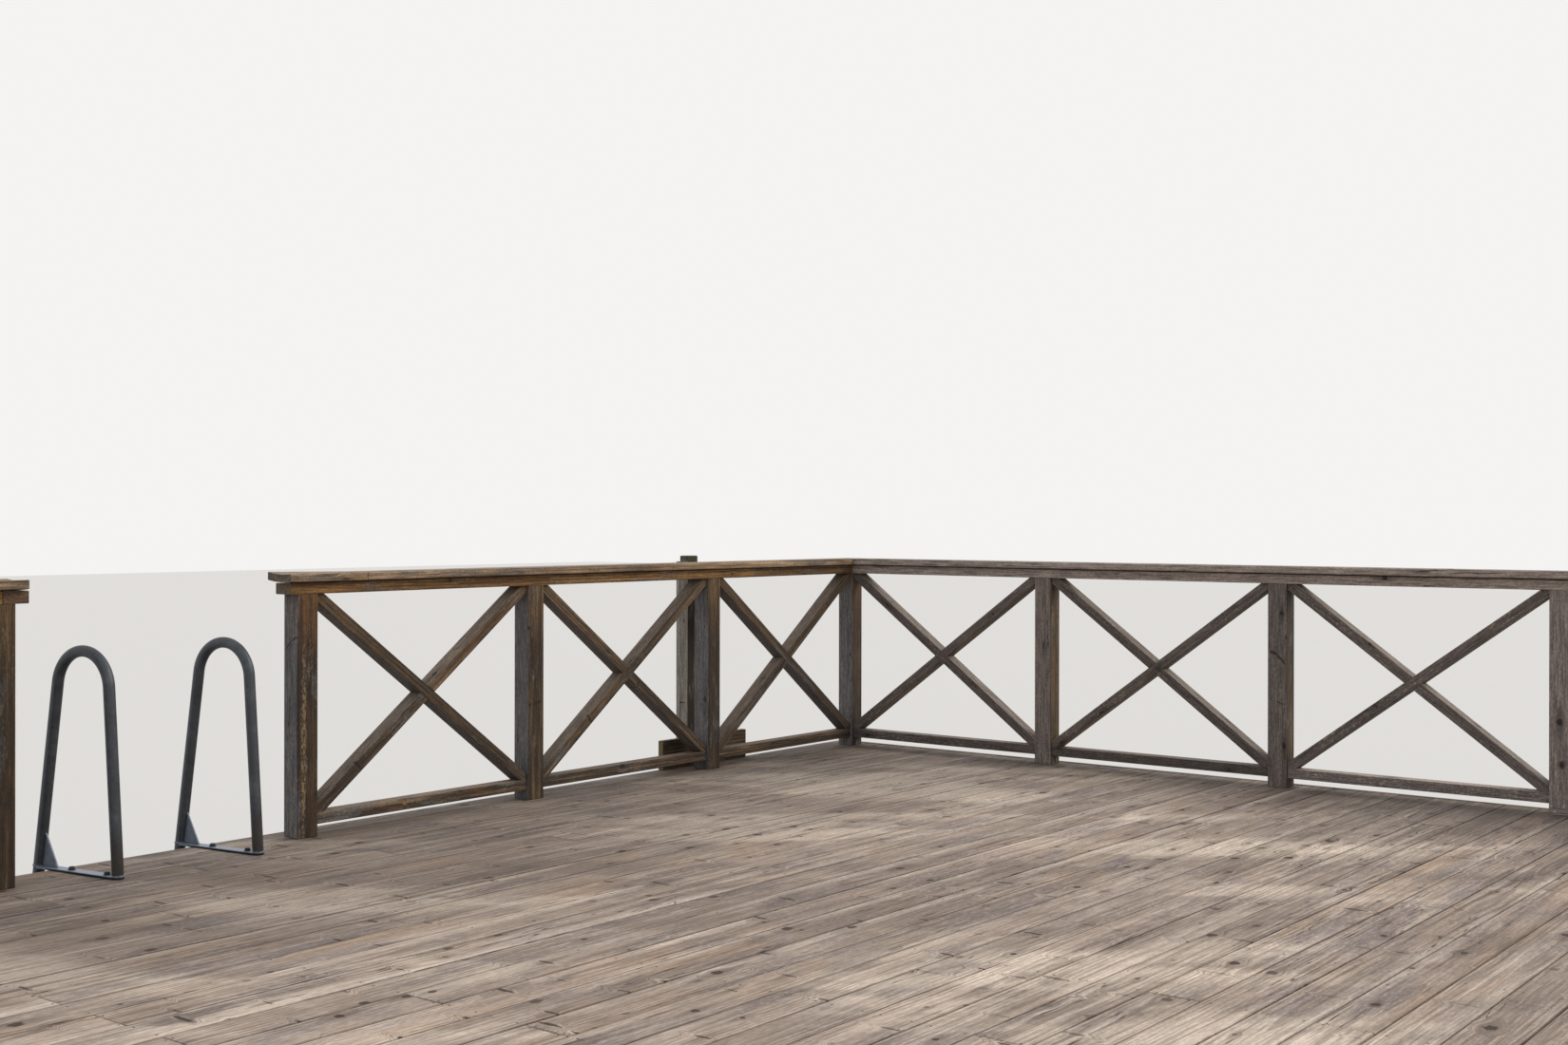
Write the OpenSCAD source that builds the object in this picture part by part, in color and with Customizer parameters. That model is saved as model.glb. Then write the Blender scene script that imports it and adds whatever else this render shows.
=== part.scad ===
/* [Deck] */
// Height of the deck's top above the ground or water
deck_h = 900; // [700:10:1400]
// Width of one deck board
board_w = 145; // [120:1:145]
// Thickness of one deck board
board_t = 28; // [22:1:45]
// Open joint between two boards
board_gap = 4; // [2:1:8]
// Width of the ripped board along the water
edge_board_w = 130; // [100:1:145]
// From the corner post's centre to the first joint, towards the water
first_joint = 12; // [0:1:20]
// From an end post's centre to the boards' ends
board_over = 90; // [70:1:120]
// Space between the boards' ends and the fascia
end_gap = 5; // [2:1:8]
// Thickness of the fascia at either end
fascia_t = 28; // [22:1:45]

/* [Frame] */
// Thickness of joists and headers
joist_w = 45; // [36:1:60]
// Height of joists and headers
joist_h = 170; // [145:1:220]
// Setback of the headers under the boards' edges
header_back = 10; // [0:1:20]
// Width of a bearer
bearer_w = 70; // [45:1:120]
// Height of a bearer
bearer_h = 195; // [145:1:220]
// From the outer bearers' centres to the deck's edges
bearer_in = 400; // [300:10:700]
// Diameter of a pile
pile_d = 170; // [140:1:220]
// From the end piles' centres to the boards' ends
pile_in = 300; // [200:10:500]
// Piles in a row
piles_in_row = 4; // [3:1:5]

/* [Railing] */
// Side of a square post
post_w = 90; // [80:1:100]
// Height of a post above the deck
post_h = 935; // [850:1:1000]
// How much higher the posts left of the ladder stand
left_rise = 5; // [0:1:10]
// Bay along the water, from post centre to post centre
lake_bay = 1200; // [1000:5:1400]
// Bays along the water right of the ladder
lake_bays = 3; // [3:1:3]
// Opening for the ladder, from post centre to post centre
ladder_bay = 1210; // [1000:5:1400]
// Bay along the right side, from post centre to post centre
side_bay = 1225; // [1100:5:1225]
// Bays along the right side
side_bays = 4; // [4:1:4]
// Width of the beam on the posts
beam_w = 95; // [90:1:120]
// Thickness of the beam on the posts
beam_h = 43; // [36:1:50]
// Thickness of the pads between beam and cap
pad_t = 6; // [3:1:10]
// Side of a square pad
pad_w = 60; // [40:1:80]
// Width of the cap
cap_w = 145; // [120:1:170]
// Thickness of the cap
cap_h = 31; // [25:1:45]
// Length of the short piece at the cap's end by the ladder
cap_piece = 364; // [300:1:500]
// Reach of the beam beyond the post right of the ladder
beam_over = 37; // [20:1:60]
// Reach of the cap beyond the post right of the ladder
cap_over = 55; // [20:1:60]
// Reach of the beam beyond the post left of the ladder
left_beam_over = 46; // [20:1:60]
// Reach of the cap beyond the post left of the ladder
left_cap_over = 33; // [20:1:60]
// Height of the bottom rail
rail_h = 45; // [36:1:60]
// Depth of the bottom rail and the braces
rail_t = 70; // [36:1:80]
// Height of the bottom rail's underside above the deck
rail_z = 44; // [30:1:80]
// Width of a brace
brace_w = 45; // [36:1:60]
// Thickness of a butt joint's open line
joint_gap = 2; // [1:1:4]
// Height of the sole plate under the last two posts
sole_h = 28; // [20:1:40]
// Width of the sole plate
sole_w = 95; // [90:1:120]

/* [Ladder] */
// Outer diameter of the ladder's tube
tube_d = 40; // [33:1:45]
// Height of a handrail's top above the deck
hoop_top = 787; // [700:1:900]
// Radius of a handrail's arch at the tube's centre
hoop_r = 130; // [110:1:150]
// Distance between the two handrails
hoop_apart = 557; // [500:1:620]
// Offset of the pair from the middle of its opening
hoop_shift = -20; // [-40:1:40]
// Place of the arch's centre across the deck's edge
hoop_y = -7; // [-20:1:20]
// Turn of each handrail away from square
hoop_skew = 9.2; // [0:0.1:12]
// Lean of the leg on the deck
near_lean = 4; // [2:0.1:6]
// Lean of the leg over the water
rear_lean = 8.4; // [6:0.1:10]
// Length of the legs below the deck's top
stile_down = 820; // [700:10:850]
// Steps of the ladder
step_count = 3; // [3:1:3]
// Vertical distance between steps
step_gap = 250; // [230:5:260]
// Depth of a step
step_w = 80; // [50:1:100]
// Thickness of a step
step_t = 25; // [15:1:30]
// Width of the flat bar under a handrail
foot_w = 42; // [40:1:60]
// Thickness of the flat bar and its gusset
foot_t = 6; // [4:1:8]
// Length of the gusset along the bar
gusset_l = 72; // [50:1:90]
// Height of the gusset
gusset_h = 100; // [70:1:120]

/* [Mooring] */
// Centre of the mooring post along the water, from the corner post
mooring_x = -1144; // [-1400:1:-1000]
// Width of the mooring post along the water
mooring_w = 76; // [60:1:100]
// Depth of the mooring post
mooring_t = 53; // [45:1:80]
// Height of the mooring post above the deck
mooring_h = 1044; // [950:1:1200]
// Thickness of the board behind the mooring post
backing_t = 25; // [20:1:45]
// Length of the plank on edge
plank_l = 570; // [450:5:700]
// Height of the plank on edge
plank_h = 145; // [120:1:170]
// Thickness of the plank on edge
plank_t = 45; // [36:1:60]

/* [Hidden] */
$fn = 32;

// Places from the corner post's centre on the deck's top: +X right along the water, +Y over the water
board_pitch = board_w + board_gap;
// Full boards behind the ripped one, enough to carry the last post
full_boards = ceil((first_joint + side_bays * side_bay + post_w / 2) / board_pitch);
deck_front = first_joint + board_gap / 2 + edge_board_w;
deck_back = first_joint + board_gap / 2 - full_boards * board_pitch;
near_x = -lake_bays * lake_bay;
far_x = near_x - ladder_bay;
left_x = far_x - lake_bay;
deck_right = board_over;
deck_left = left_x - board_over;
fascia_right_x = deck_right + end_gap;
fascia_left_x = deck_left - end_gap;
frame_z = -board_t - joist_h;
bearer_z = frame_z - bearer_h;
side_end = -side_bays * side_bay;

// The ladder's tubes, measured from the foot of the arch's centre towards the water
arch_z = hoop_top - tube_d / 2 - hoop_r;
hoop_x = (near_x + far_x) / 2 + hoop_shift;
rear_start = hoop_r * cos(rear_lean);
rear_start_z = arch_z + hoop_r * sin(rear_lean);
near_start = hoop_r * cos(near_lean);
near_start_z = arch_z + hoop_r * sin(near_lean);
near_foot = near_start + near_start_z * tan(near_lean);
function rear_at(z) = rear_start + (rear_start_z - z) * tan(rear_lean);

// Line between the bent and the straight stretch of a tube, too fine to see
tube_line = 0.005;

// Reach of the lowest step and of the legs' level cut at the foot
step_front = rear_at(-step_count * step_gap) * cos(hoop_skew) + step_w / 2;
foot_reach = norm([tube_d / 2 / cos(rear_lean) * cos(hoop_skew), tube_d / 2 * sin(hoop_skew)]);
leg_front = rear_at(-stile_down) * cos(hoop_skew) + foot_reach;
ladder_front = hoop_y + max(step_front, leg_front);

// The corner post's centre, from the point on the ground under the middle of the whole jetty
corner_x = -(fascia_right_x + fascia_t + fascia_left_x - fascia_t) / 2;
corner_y = -(ladder_front + deck_back) / 2;

deck_color = "#b39b82";
rail_color = "#9a8069";
frame_color = "#86735e";
pile_color = "#75634f";
steel_color = "#7d8792";

// Moves a piece from the corner post's foot to its place over the origin
module site() {
    translate([corner_x, corner_y, deck_h]) children();
}

// A block between two opposite corners
module block(low, high) {
    translate(low) cube(high - low);
}

// Runs a bay's flat shape, drawn across and up, along the water
module along_lake(x) {
    translate([x, rail_t / 2, 0]) rotate([90, 0, 0]) linear_extrude(rail_t) children();
}

// The same along the right side, from the bay's end nearest to the water
module along_side(y) {
    translate([rail_t / 2, y, 0]) rotate([90, 0, -90]) linear_extrude(rail_t) children();
}

// Full boards from number first to number last, counted from the water
module deck_boards(first, last) {
    color(deck_color) site() {
        for (i = [first : last]) {
            y = deck_front - edge_board_w - i * board_pitch;
            block([deck_left, y, -board_t], [deck_right, y + board_w, 0]);
        }
    }
}

module deck_boards_lake() {
    deck_boards(1, 11);
    color(deck_color) site() {
        block([deck_left, deck_front - edge_board_w, -board_t], [deck_right, deck_front, 0]);
    }
}

// One joist under each post line, one halfway between, and one at either end
module joists() {
    inner = [for (i = [0 : 2 * lake_bays]) -i * lake_bay / 2];
    outer = [(near_x + far_x) / 2, far_x, far_x - lake_bay / 2, left_x];
    ends = [fascia_right_x - joist_w / 2, fascia_left_x + joist_w / 2];
    color(frame_color) site() {
        for (x = concat(inner, outer, ends)) {
            block([x - joist_w / 2, deck_back + header_back + joist_w, frame_z],
                [x + joist_w / 2, deck_front - header_back - joist_w, -board_t]);
        }
    }
}

module headers() {
    color(frame_color) site() {
        for (y = [deck_front - header_back - joist_w, deck_back + header_back]) {
            block([fascia_left_x, y, frame_z], [fascia_right_x, y + joist_w, -board_t]);
        }
    }
}

module fascia(x) {
    color(deck_color) site() block([x, deck_back, frame_z], [x + fascia_t, deck_front, 0]);
}

function row_y(row) = row == 0 ? deck_front - bearer_in
    : row == 1 ? (deck_front + deck_back) / 2
    : deck_back + bearer_in;

module bearers() {
    color(frame_color) site() {
        for (row = [0 : 2]) {
            block([deck_left, row_y(row) - bearer_w / 2, bearer_z],
                [deck_right, row_y(row) + bearer_w / 2, frame_z]);
        }
    }
}

module pile_row(row) {
    first = deck_left + pile_in;
    pitch = (deck_right - deck_left - 2 * pile_in) / (piles_in_row - 1);
    color(pile_color) site() {
        for (i = [0 : piles_in_row - 1]) {
            translate([first + i * pitch, row_y(row), -deck_h]) cylinder(d = pile_d, h = deck_h + bearer_z);
        }
    }
}

module post(x, y, rise = 0, foot = 0) {
    color(rail_color) site() {
        block([x - post_w / 2, y - post_w / 2, foot], [x + post_w / 2, y + post_w / 2, post_h + rise]);
    }
}

// Front view of a bottom rail between two posts
module bottom_rail_face(bay) {
    translate([post_w / 2, rail_z]) square([bay - post_w, rail_h]);
}

module left_bottom_rail() {
    color(rail_color) site() along_lake(left_x) bottom_rail_face(lake_bay);
}

module lake_bottom_rails() {
    color(rail_color) site() {
        for (i = [1 : lake_bays]) along_lake(-i * lake_bay) bottom_rail_face(lake_bay);
    }
}

module side_bottom_rails() {
    color(rail_color) site() {
        for (i = [0 : side_bays - 1]) along_side(-i * side_bay) bottom_rail_face(side_bay);
    }
}

// One diagonal of a bay w wide and h high, cut along the post and the rail at both ends
module diagonal(w, h) {
    slope = atan2(h, w);
    dx = brace_w / 2 / sin(slope);
    dy = brace_w / 2 / cos(slope);
    polygon([[0, 0], [dx, 0], [w, h - dy], [w, h], [w - dx, h], [0, dy]]);
}

// Front view of the crossed braces in a bay
module brace_face(bay, rise = 0) {
    w = bay - post_w;
    h = post_h + rise - rail_z - rail_h;
    translate([post_w / 2, rail_z + rail_h]) {
        diagonal(w, h);
        translate([w, 0]) mirror([1, 0]) diagonal(w, h);
    }
}

module lake_brace(x, rise = 0) {
    color(rail_color) site() along_lake(x) brace_face(lake_bay, rise);
}

module side_brace(y) {
    color(rail_color) site() along_side(y) brace_face(side_bay);
}

// Flat timber w wide and h thick along the water, from x to the mitre over the corner post
module mitred_lake(x, w, h) {
    linear_extrude(h) polygon([[x, -w / 2], [-w / 2, -w / 2], [w / 2, w / 2], [x, w / 2]]);
}

// Flat timber from the mitre over the corner post to y on the right side
module mitred_side(y, w, h) {
    linear_extrude(h) polygon([[-w / 2, -w / 2], [w / 2, w / 2], [w / 2, y], [-w / 2, y]]);
}

// The left run's beam has a butt joint over the post by the ladder
module left_beam() {
    z = post_h + left_rise;
    start = left_x - post_w / 2 - left_beam_over;
    end = far_x + post_w / 2 + left_beam_over;
    color(rail_color) site() {
        block([start, -beam_w / 2, z], [far_x - joint_gap / 2, beam_w / 2, z + beam_h]);
        block([far_x + joint_gap / 2, -beam_w / 2, z], [end, beam_w / 2, z + beam_h]);
    }
}

module lake_beam() {
    color(rail_color) site() translate([0, 0, post_h]) {
        mitred_lake(near_x - post_w / 2 - beam_over, beam_w, beam_h);
    }
}

module side_beam() {
    color(rail_color) site() translate([0, 0, post_h]) {
        mitred_side(side_end - post_w / 2 - beam_over, beam_w, beam_h);
    }
}

cap_start = near_x - post_w / 2 - cap_over;
cap_joint = cap_start + cap_piece;
cap_z = post_h + beam_h + pad_t;

module pad(x, y, rise = 0) {
    translate([x - pad_w / 2, y - pad_w / 2, cap_z - pad_t + rise]) cube([pad_w, pad_w, pad_t]);
}

module cap_pads() {
    color(rail_color) site() {
        for (i = [0 : lake_bays]) pad(-i * lake_bay, 0);
        for (i = [1 : side_bays]) pad(0, -i * side_bay);
        pad(cap_joint, 0);
        pad(far_x, 0, left_rise);
        pad(left_x, 0, left_rise);
    }
}

module left_cap() {
    color(rail_color) site() {
        block([left_x - post_w / 2 - left_cap_over, -cap_w / 2, cap_z + left_rise],
            [far_x + post_w / 2 + left_cap_over, cap_w / 2, cap_z + left_rise + cap_h]);
    }
}

module lake_cap_end() {
    color(rail_color) site() {
        block([cap_start, -cap_w / 2, cap_z], [cap_joint - joint_gap / 2, cap_w / 2, cap_z + cap_h]);
    }
}

module lake_cap() {
    color(rail_color) site() translate([0, 0, cap_z]) mitred_lake(cap_joint + joint_gap / 2, cap_w, cap_h);
}

module side_cap() {
    color(rail_color) site() translate([0, 0, cap_z]) {
        mitred_side(side_end - post_w / 2 - cap_over, cap_w, cap_h);
    }
}

// Flat board on the deck that the last bay's two posts stand on
module sole_plate() {
    start = side_end - post_w / 2;
    end = side_end + side_bay + post_w / 2;
    color(rail_color) site() {
        block([-sole_w / 2, start, 0], [sole_w / 2, end, sole_h]);
    }
}

// The leg over the water, from the arch down to the ladder's foot
module rear_leg() {
    difference() {
        translate([0, rear_start, rear_start_z]) rotate([rear_lean, 0, 0]) {
            translate([0, 0, -2 * hoop_top - tube_line]) cylinder(d = tube_d, h = 2 * hoop_top);
        }
        block([-tube_d, 0, -3 * hoop_top], [tube_d, 2 * hoop_top, -stile_down]);
    }
}

// The leg that ends on the flat bar
module near_leg() {
    difference() {
        translate([0, -near_start, near_start_z]) rotate([-near_lean, 0, 0]) {
            translate([0, 0, -hoop_top]) cylinder(d = tube_d, h = hoop_top);
        }
        block([-tube_d, -hoop_top, -hoop_top], [tube_d, 0, foot_t]);
    }
}

// Sets a piece at the handrail on the given side, -1 left and 1 right
module at_hoop(side) {
    translate([hoop_x + side * hoop_apart / 2, hoop_y, 0]) rotate([0, 0, hoop_skew]) children();
}

module handrail(side) {
    color(steel_color) site() at_hoop(side) {
        translate([0, 0, arch_z]) rotate([90, 0, 90]) rotate([0, 0, rear_lean]) {
            rotate_extrude(angle = 180 - rear_lean - near_lean) translate([hoop_r, 0]) circle(d = tube_d);
        }
        rear_leg();
        near_leg();
    }
}

// Flat bar on the deck with the gusset that braces the outer leg
module foot_bar(side) {
    seat = rear_at(0);
    color(steel_color) site() at_hoop(side) difference() {
        union() {
            block([-foot_w / 2, -near_foot - foot_w / 2, 0], [foot_w / 2, seat - tube_d / 4, foot_t]);
            translate([-foot_t / 2, 0, 0]) rotate([90, 0, 90]) linear_extrude(foot_t) {
                polygon([[seat - tube_d / 2 - gusset_l, foot_t], [seat - tube_d / 4, foot_t],
                    [rear_at(gusset_h) - tube_d / 4, gusset_h]]);
            }
        }
        rear_leg();
    }
}

module ladder_steps() {
    color(steel_color) site() {
        for (i = [1 : step_count]) {
            z = -i * step_gap;
            x = hoop_x - rear_at(z) * sin(hoop_skew);
            y = hoop_y + rear_at(z) * cos(hoop_skew);
            difference() {
                block([x - hoop_apart / 2, y - step_w / 2, z - step_t], [x + hoop_apart / 2, y + step_w / 2, z]);
                for (side = [-1, 1]) at_hoop(side) rear_leg();
            }
        }
    }
}

module mooring_post() {
    color(rail_color) site() {
        block([mooring_x - mooring_w / 2, deck_front, -deck_h],
            [mooring_x + mooring_w / 2, deck_front + mooring_t, mooring_h]);
    }
}

module mooring_backing() {
    y = deck_front + mooring_t;
    color(rail_color) site() {
        block([mooring_x - mooring_w / 2, y, -deck_h],
            [mooring_x + mooring_w / 2, y + backing_t, post_h + beam_h + pad_t + cap_h]);
    }
}

module mooring_plank() {
    color(rail_color) site() {
        block([mooring_x - plank_l / 2, deck_front - plank_t, 0],
            [mooring_x + plank_l / 2, deck_front, plank_h]);
    }
}

deck_boards_lake();
deck_boards(12, 22);  // deck_boards_middle
deck_boards(23, full_boards);  // deck_boards_shore
joists();
headers();
fascia(fascia_left_x - fascia_t);  // fascia_left
fascia(fascia_right_x);  // fascia_right
bearers();
pile_row(0);  // piles_lake
pile_row(1);  // piles_middle
pile_row(2);  // piles_shore
post(left_x, 0, left_rise);  // left_post_1
post(far_x, 0, left_rise);  // left_post_2
for (i = [1 : lake_bays]) {
    post(-(lake_bays + 1 - i) * lake_bay, 0);
}
post(0, 0);  // corner_post
for (i = [1 : side_bays]) {
    foot = i >= side_bays - 1 ? sole_h : 0;
    post(0, -i * side_bay, 0, foot);
}
left_bottom_rail();
lake_bottom_rails();
side_bottom_rails();
lake_brace(left_x, left_rise);  // left_brace
for (i = [1 : lake_bays]) {
    lake_brace(-(lake_bays + 1 - i) * lake_bay);
}
for (i = [1 : side_bays]) {
    side_brace(-(i - 1) * side_bay);
}
left_beam();
lake_beam();
side_beam();
cap_pads();
left_cap();
lake_cap_end();
lake_cap();
side_cap();
sole_plate();
handrail(-1);  // handrail_left
handrail(1);  // handrail_right
foot_bar(-1);  // foot_bar_left
foot_bar(1);  // foot_bar_right
ladder_steps();
mooring_post();
mooring_backing();
mooring_plank();
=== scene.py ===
import math
import random

import bmesh
import bpy
import numpy as np
from mathutils import Matrix, Vector


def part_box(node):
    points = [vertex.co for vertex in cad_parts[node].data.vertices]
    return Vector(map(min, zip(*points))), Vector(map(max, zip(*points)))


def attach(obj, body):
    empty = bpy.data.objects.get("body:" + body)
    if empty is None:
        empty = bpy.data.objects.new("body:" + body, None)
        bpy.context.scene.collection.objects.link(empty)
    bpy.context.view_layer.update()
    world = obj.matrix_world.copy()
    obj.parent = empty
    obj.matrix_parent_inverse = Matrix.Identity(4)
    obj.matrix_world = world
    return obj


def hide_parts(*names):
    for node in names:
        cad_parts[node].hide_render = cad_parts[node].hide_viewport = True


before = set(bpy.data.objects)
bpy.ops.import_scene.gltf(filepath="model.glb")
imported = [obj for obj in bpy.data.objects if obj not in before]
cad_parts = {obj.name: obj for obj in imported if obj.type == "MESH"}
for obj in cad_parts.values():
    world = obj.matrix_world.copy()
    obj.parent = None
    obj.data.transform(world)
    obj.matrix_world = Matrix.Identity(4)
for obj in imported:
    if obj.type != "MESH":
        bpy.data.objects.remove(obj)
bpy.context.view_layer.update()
scene = bpy.context.scene
mm = 0.001

# Places are measured from the foot of the corner post: x right along the water, y out over it
cornerLow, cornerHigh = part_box("corner_post")
corner = Vector(((cornerLow.x + cornerHigh.x) / 2, (cornerLow.y + cornerHigh.y) / 2, cornerLow.z))


# Camera and light

camera = {
    "lens": 40.13,                     # mm
    "frameWidth": 36,                  # mm
    "place": (-7.747, -5.621, 1.219),  # m from the corner post's foot
    "turn": 51.86,                     # degrees clockwise from straight out over the water
    "dip": 0.053,                      # degrees below level
    "roll": 0.092,
}
light = {
    "keyFrom": (0.62, -0.62, 0.62),    # towards the lamp
    "keyStrength": 1.25,
    "keyColour": "#fff3e4",
    "keySoftness": 22,                 # degrees
    "skyStrength": 0.78,
    "skyColour": "#f2f5fa",
    "backdrop": "#f4f3f1",
    "floor": "#e7e5e1",
    "floorBounce": "#8f8d89",
    "floorReach": 60,                  # m from the middle to the floor's edge
}


def linear(hexColour, alpha=1.0):
    # sRGB hex to the linear numbers that the nodes want
    channels = [int(hexColour[i:i + 2], 16) / 255 for i in (1, 3, 5)]
    flat = [c / 12.92 if c <= 0.04045 else ((c + 0.055) / 1.055) ** 2.4 for c in channels]
    return (*flat, alpha)


def addNode(tree, kind, given=None):
    # a node or a socket in given is linked, by a node's first output in use; anything else is set
    made = tree.nodes.new("ShaderNode" + kind)
    for key, value in (given or {}).items():
        if isinstance(value, bpy.types.Node):
            value = next(socket for socket in value.outputs if socket.enabled)
        if isinstance(value, bpy.types.NodeSocket):
            tree.links.new(value, made.inputs[key])
        elif isinstance(key, int) or key in made.inputs:
            made.inputs[key].default_value = value
        else:
            setattr(made, key, value)
    return made


def newMaterial(name):
    material = bpy.data.materials.new(name)
    material.use_nodes = True
    material.node_tree.nodes.clear()
    return material, material.node_tree


def placeCamera():
    turn, dip, roll = (math.radians(camera[key]) for key in ("turn", "dip", "roll"))
    ahead = Vector((math.sin(turn) * math.cos(dip), math.cos(turn) * math.cos(dip), -math.sin(dip)))
    level = Vector((math.cos(turn), -math.sin(turn), 0))
    above = level.cross(ahead)
    right = math.cos(roll) * level + math.sin(roll) * above
    up = math.cos(roll) * above - math.sin(roll) * level
    made = bpy.data.objects.new("camera", bpy.data.cameras.new("camera"))
    made.data.sensor_width = camera["frameWidth"]
    made.data.sensor_fit = "HORIZONTAL"
    made.data.lens = camera["lens"]
    made.data.clip_start = 0.05
    made.data.clip_end = 500
    made.matrix_world = Matrix.Translation(corner + Vector(camera["place"])) @ Matrix(
        (right, up, -ahead)).transposed().to_4x4()
    scene.collection.objects.link(made)
    scene.camera = made


def seenRays(tree):
    # 1 where a ray shows the background itself: to the camera, off metal or through glass
    rays = addNode(tree, "LightPath").outputs
    seen = rays["Is Camera Ray"]
    for other in ("Is Glossy Ray", "Is Transmission Ray"):
        seen = addNode(tree, "Math", {"operation": "MAXIMUM", 0: seen, 1: rays[other]})
    return seen


def placeLight():
    key = bpy.data.lights.new("key", "SUN")
    key.energy = light["keyStrength"]
    key.color = linear(light["keyColour"])[:3]
    key.angle = math.radians(light["keySoftness"])
    lamp = bpy.data.objects.new("key", key)
    lamp.rotation_mode = "QUATERNION"
    lamp.rotation_quaternion = Vector(light["keyFrom"]).to_track_quat("Z", "Y")
    scene.collection.objects.link(lamp)

    world = bpy.data.worlds.new("studio")
    scene.world = world
    world.use_nodes = True
    tree = world.node_tree
    tree.nodes.clear()
    soft = addNode(tree, "Background", {
        "Color": linear(light["skyColour"]), "Strength": light["skyStrength"]})
    seen = addNode(tree, "Background", {"Color": linear(light["backdrop"]), "Strength": 1.0})
    both = addNode(tree, "MixShader", {0: seenRays(tree), 1: soft, 2: seen})
    addNode(tree, "OutputWorld", {"Surface": both})


def layFloor():
    # pale matt painted floor, level with the foot of the piles
    reach = light["floorReach"]
    mesh = bpy.data.meshes.new("floor")
    mesh.from_pydata([(-reach, -reach, 0), (reach, -reach, 0), (reach, reach, 0), (-reach, reach, 0)],
                     [], [(0, 1, 2, 3)])
    floor = bpy.data.objects.new("floor", mesh)
    scene.collection.objects.link(floor)
    # seen pale, but it throws less light up under the rails, as dark water does
    material, tree = newMaterial("pale floor paint")
    colour = addNode(tree, "Mix", {
        "data_type": "RGBA", 0: seenRays(tree), 6: linear(light["floorBounce"]),
        7: linear(light["floor"])})
    shader = addNode(tree, "BsdfPrincipled", {
        "Roughness": 0.9, "Specular IOR Level": 0.2, "Base Color": colour})
    addNode(tree, "OutputMaterial", {"Surface": shader})
    mesh.materials.append(material)


scene.view_settings.view_transform = "Standard"
placeCamera()
placeLight()
layFloor()
print("camera, light and floor placed")


# Timber finishes

# Planed softwood boards, walked on and left to the weather: silvery beige, grey patches and dark knots
deckTimber = {
    "base": "#b3a091", "light": "#e0d0c0", "dark": "#65574d", "grey": "#8a7f7e", "warm": "#bf9f80",
    "knot": "#3a2a20", "crack": "#3a2e26", "end": "#6e6056", "joint": "#42372f", "sky": "#b3a091",
    # the bleached and damp colours paint wide patches of sunlight and shade, standing also for sun
    # bleaching and damp
    "bleached": "#ebd8c4", "damp": "#75675d", "lichen": "#d8cbbb", "shelter": "#bf9f80",
    # sizes in mm, along the grain and across it; the real fibres are finer than a pixel, so they are
    # drawn coarser
    "streak": (1300, 24), "fibre": (170, 6), "mottle": (520, 120), "check": (800, 30), "speck": (22, 9),
    "ringGap": 12, "ringDepth": 0.5, "wander": 28,
    "knotEvery": 210, "knotApart": 150, "knotSize": 15, "knotShare": 0.75, "spikeShare": 0.45,
    "heartShare": 0.92, "toneSpread": 0.3, "warmShare": 0.5, "wornEdge": 0.6, "jointShare": 0.35,
    "weatherShare": 0, "streakShare": 0.75, "skyShare": 0, "bleachedShare": 0.8, "dampShare": 0.5,
    "lichenShare": 0.2, "shelterShare": 0, "shelterFrom": (0.6, 0.9), "railShade": 0.48, "marks": (),
    "fibreDepth": 0.24, "speckDepth": 0.12, "bump": 0.8, "roughness": 0.82,
}
# Planed posts along the water: dark brown, and grey on the side towards -X, painted sky-lit shade taken
# also as rain bleaching
lakeTimber = {
    "base": "#34291e", "light": "#6a5537", "dark": "#1d160f", "grey": "#737070", "warm": "#593e24",
    "knot": "#1b130e", "crack": "#17100b", "end": "#453b34", "joint": "#2f2722", "sky": "#6b6055",
    "bleached": "#6f5638", "damp": "#2c2219", "lichen": "#9a825c", "shelter": "#80633f",
    "streak": (900, 16), "fibre": (110, 5), "mottle": (300, 60), "check": (480, 18), "speck": (14, 7),
    "ringGap": 13, "ringDepth": 0.65, "wander": 18,
    "knotEvery": 300, "knotApart": 90, "knotSize": 11, "knotShare": 0.5, "spikeShare": 0.35,
    "heartShare": 0.92, "toneSpread": 0.3, "warmShare": 0.6, "wornEdge": 0, "jointShare": 0,
    "weatherShare": 0.8, "streakShare": 1, "skyShare": 0.35, "bleachedShare": 0.4, "dampShare": 0.5,
    "lichenShare": 0.3, "shelterShare": 0.5, "shelterFrom": (0.6, 0.9), "railShade": 0,
    # knots and cracks seen on one post: from, to (m from the corner post's foot), mm wide, paint, strength
    "marks": (((-2.447, -0.045, 0.757), (-2.443, -0.045, 0.743), 20, "knot", 0.95),
              ((-2.440, -0.045, 0.422), (-2.434, -0.045, 0.406), 20, "knot", 0.95),
              ((-2.425, -0.045, 0.413), (-2.362, -0.045, 0.428), 24, "dark", 0.7)),
    "fibreDepth": 0.42, "speckDepth": 0.22, "bump": 0.9, "roughness": 0.75,
}
# The braces and bottom rails there stand more in the light and are paler, with painted sky light on top
lakeRailTimber = dict(
    lakeTimber, base="#4b3d2f", light="#8c7453", dark="#271e16", warm="#6c4f32", bleached="#8a7052",
    damp="#352a20", shelter="#74583a", sky="#83715f", shelterShare=0.4, skyShare=0.6, marks=())
# The plank by the mooring post has a tan sawn end
plankTimber = dict(lakeRailTimber, grey="#87785a", end="#7b6b4b")
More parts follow.
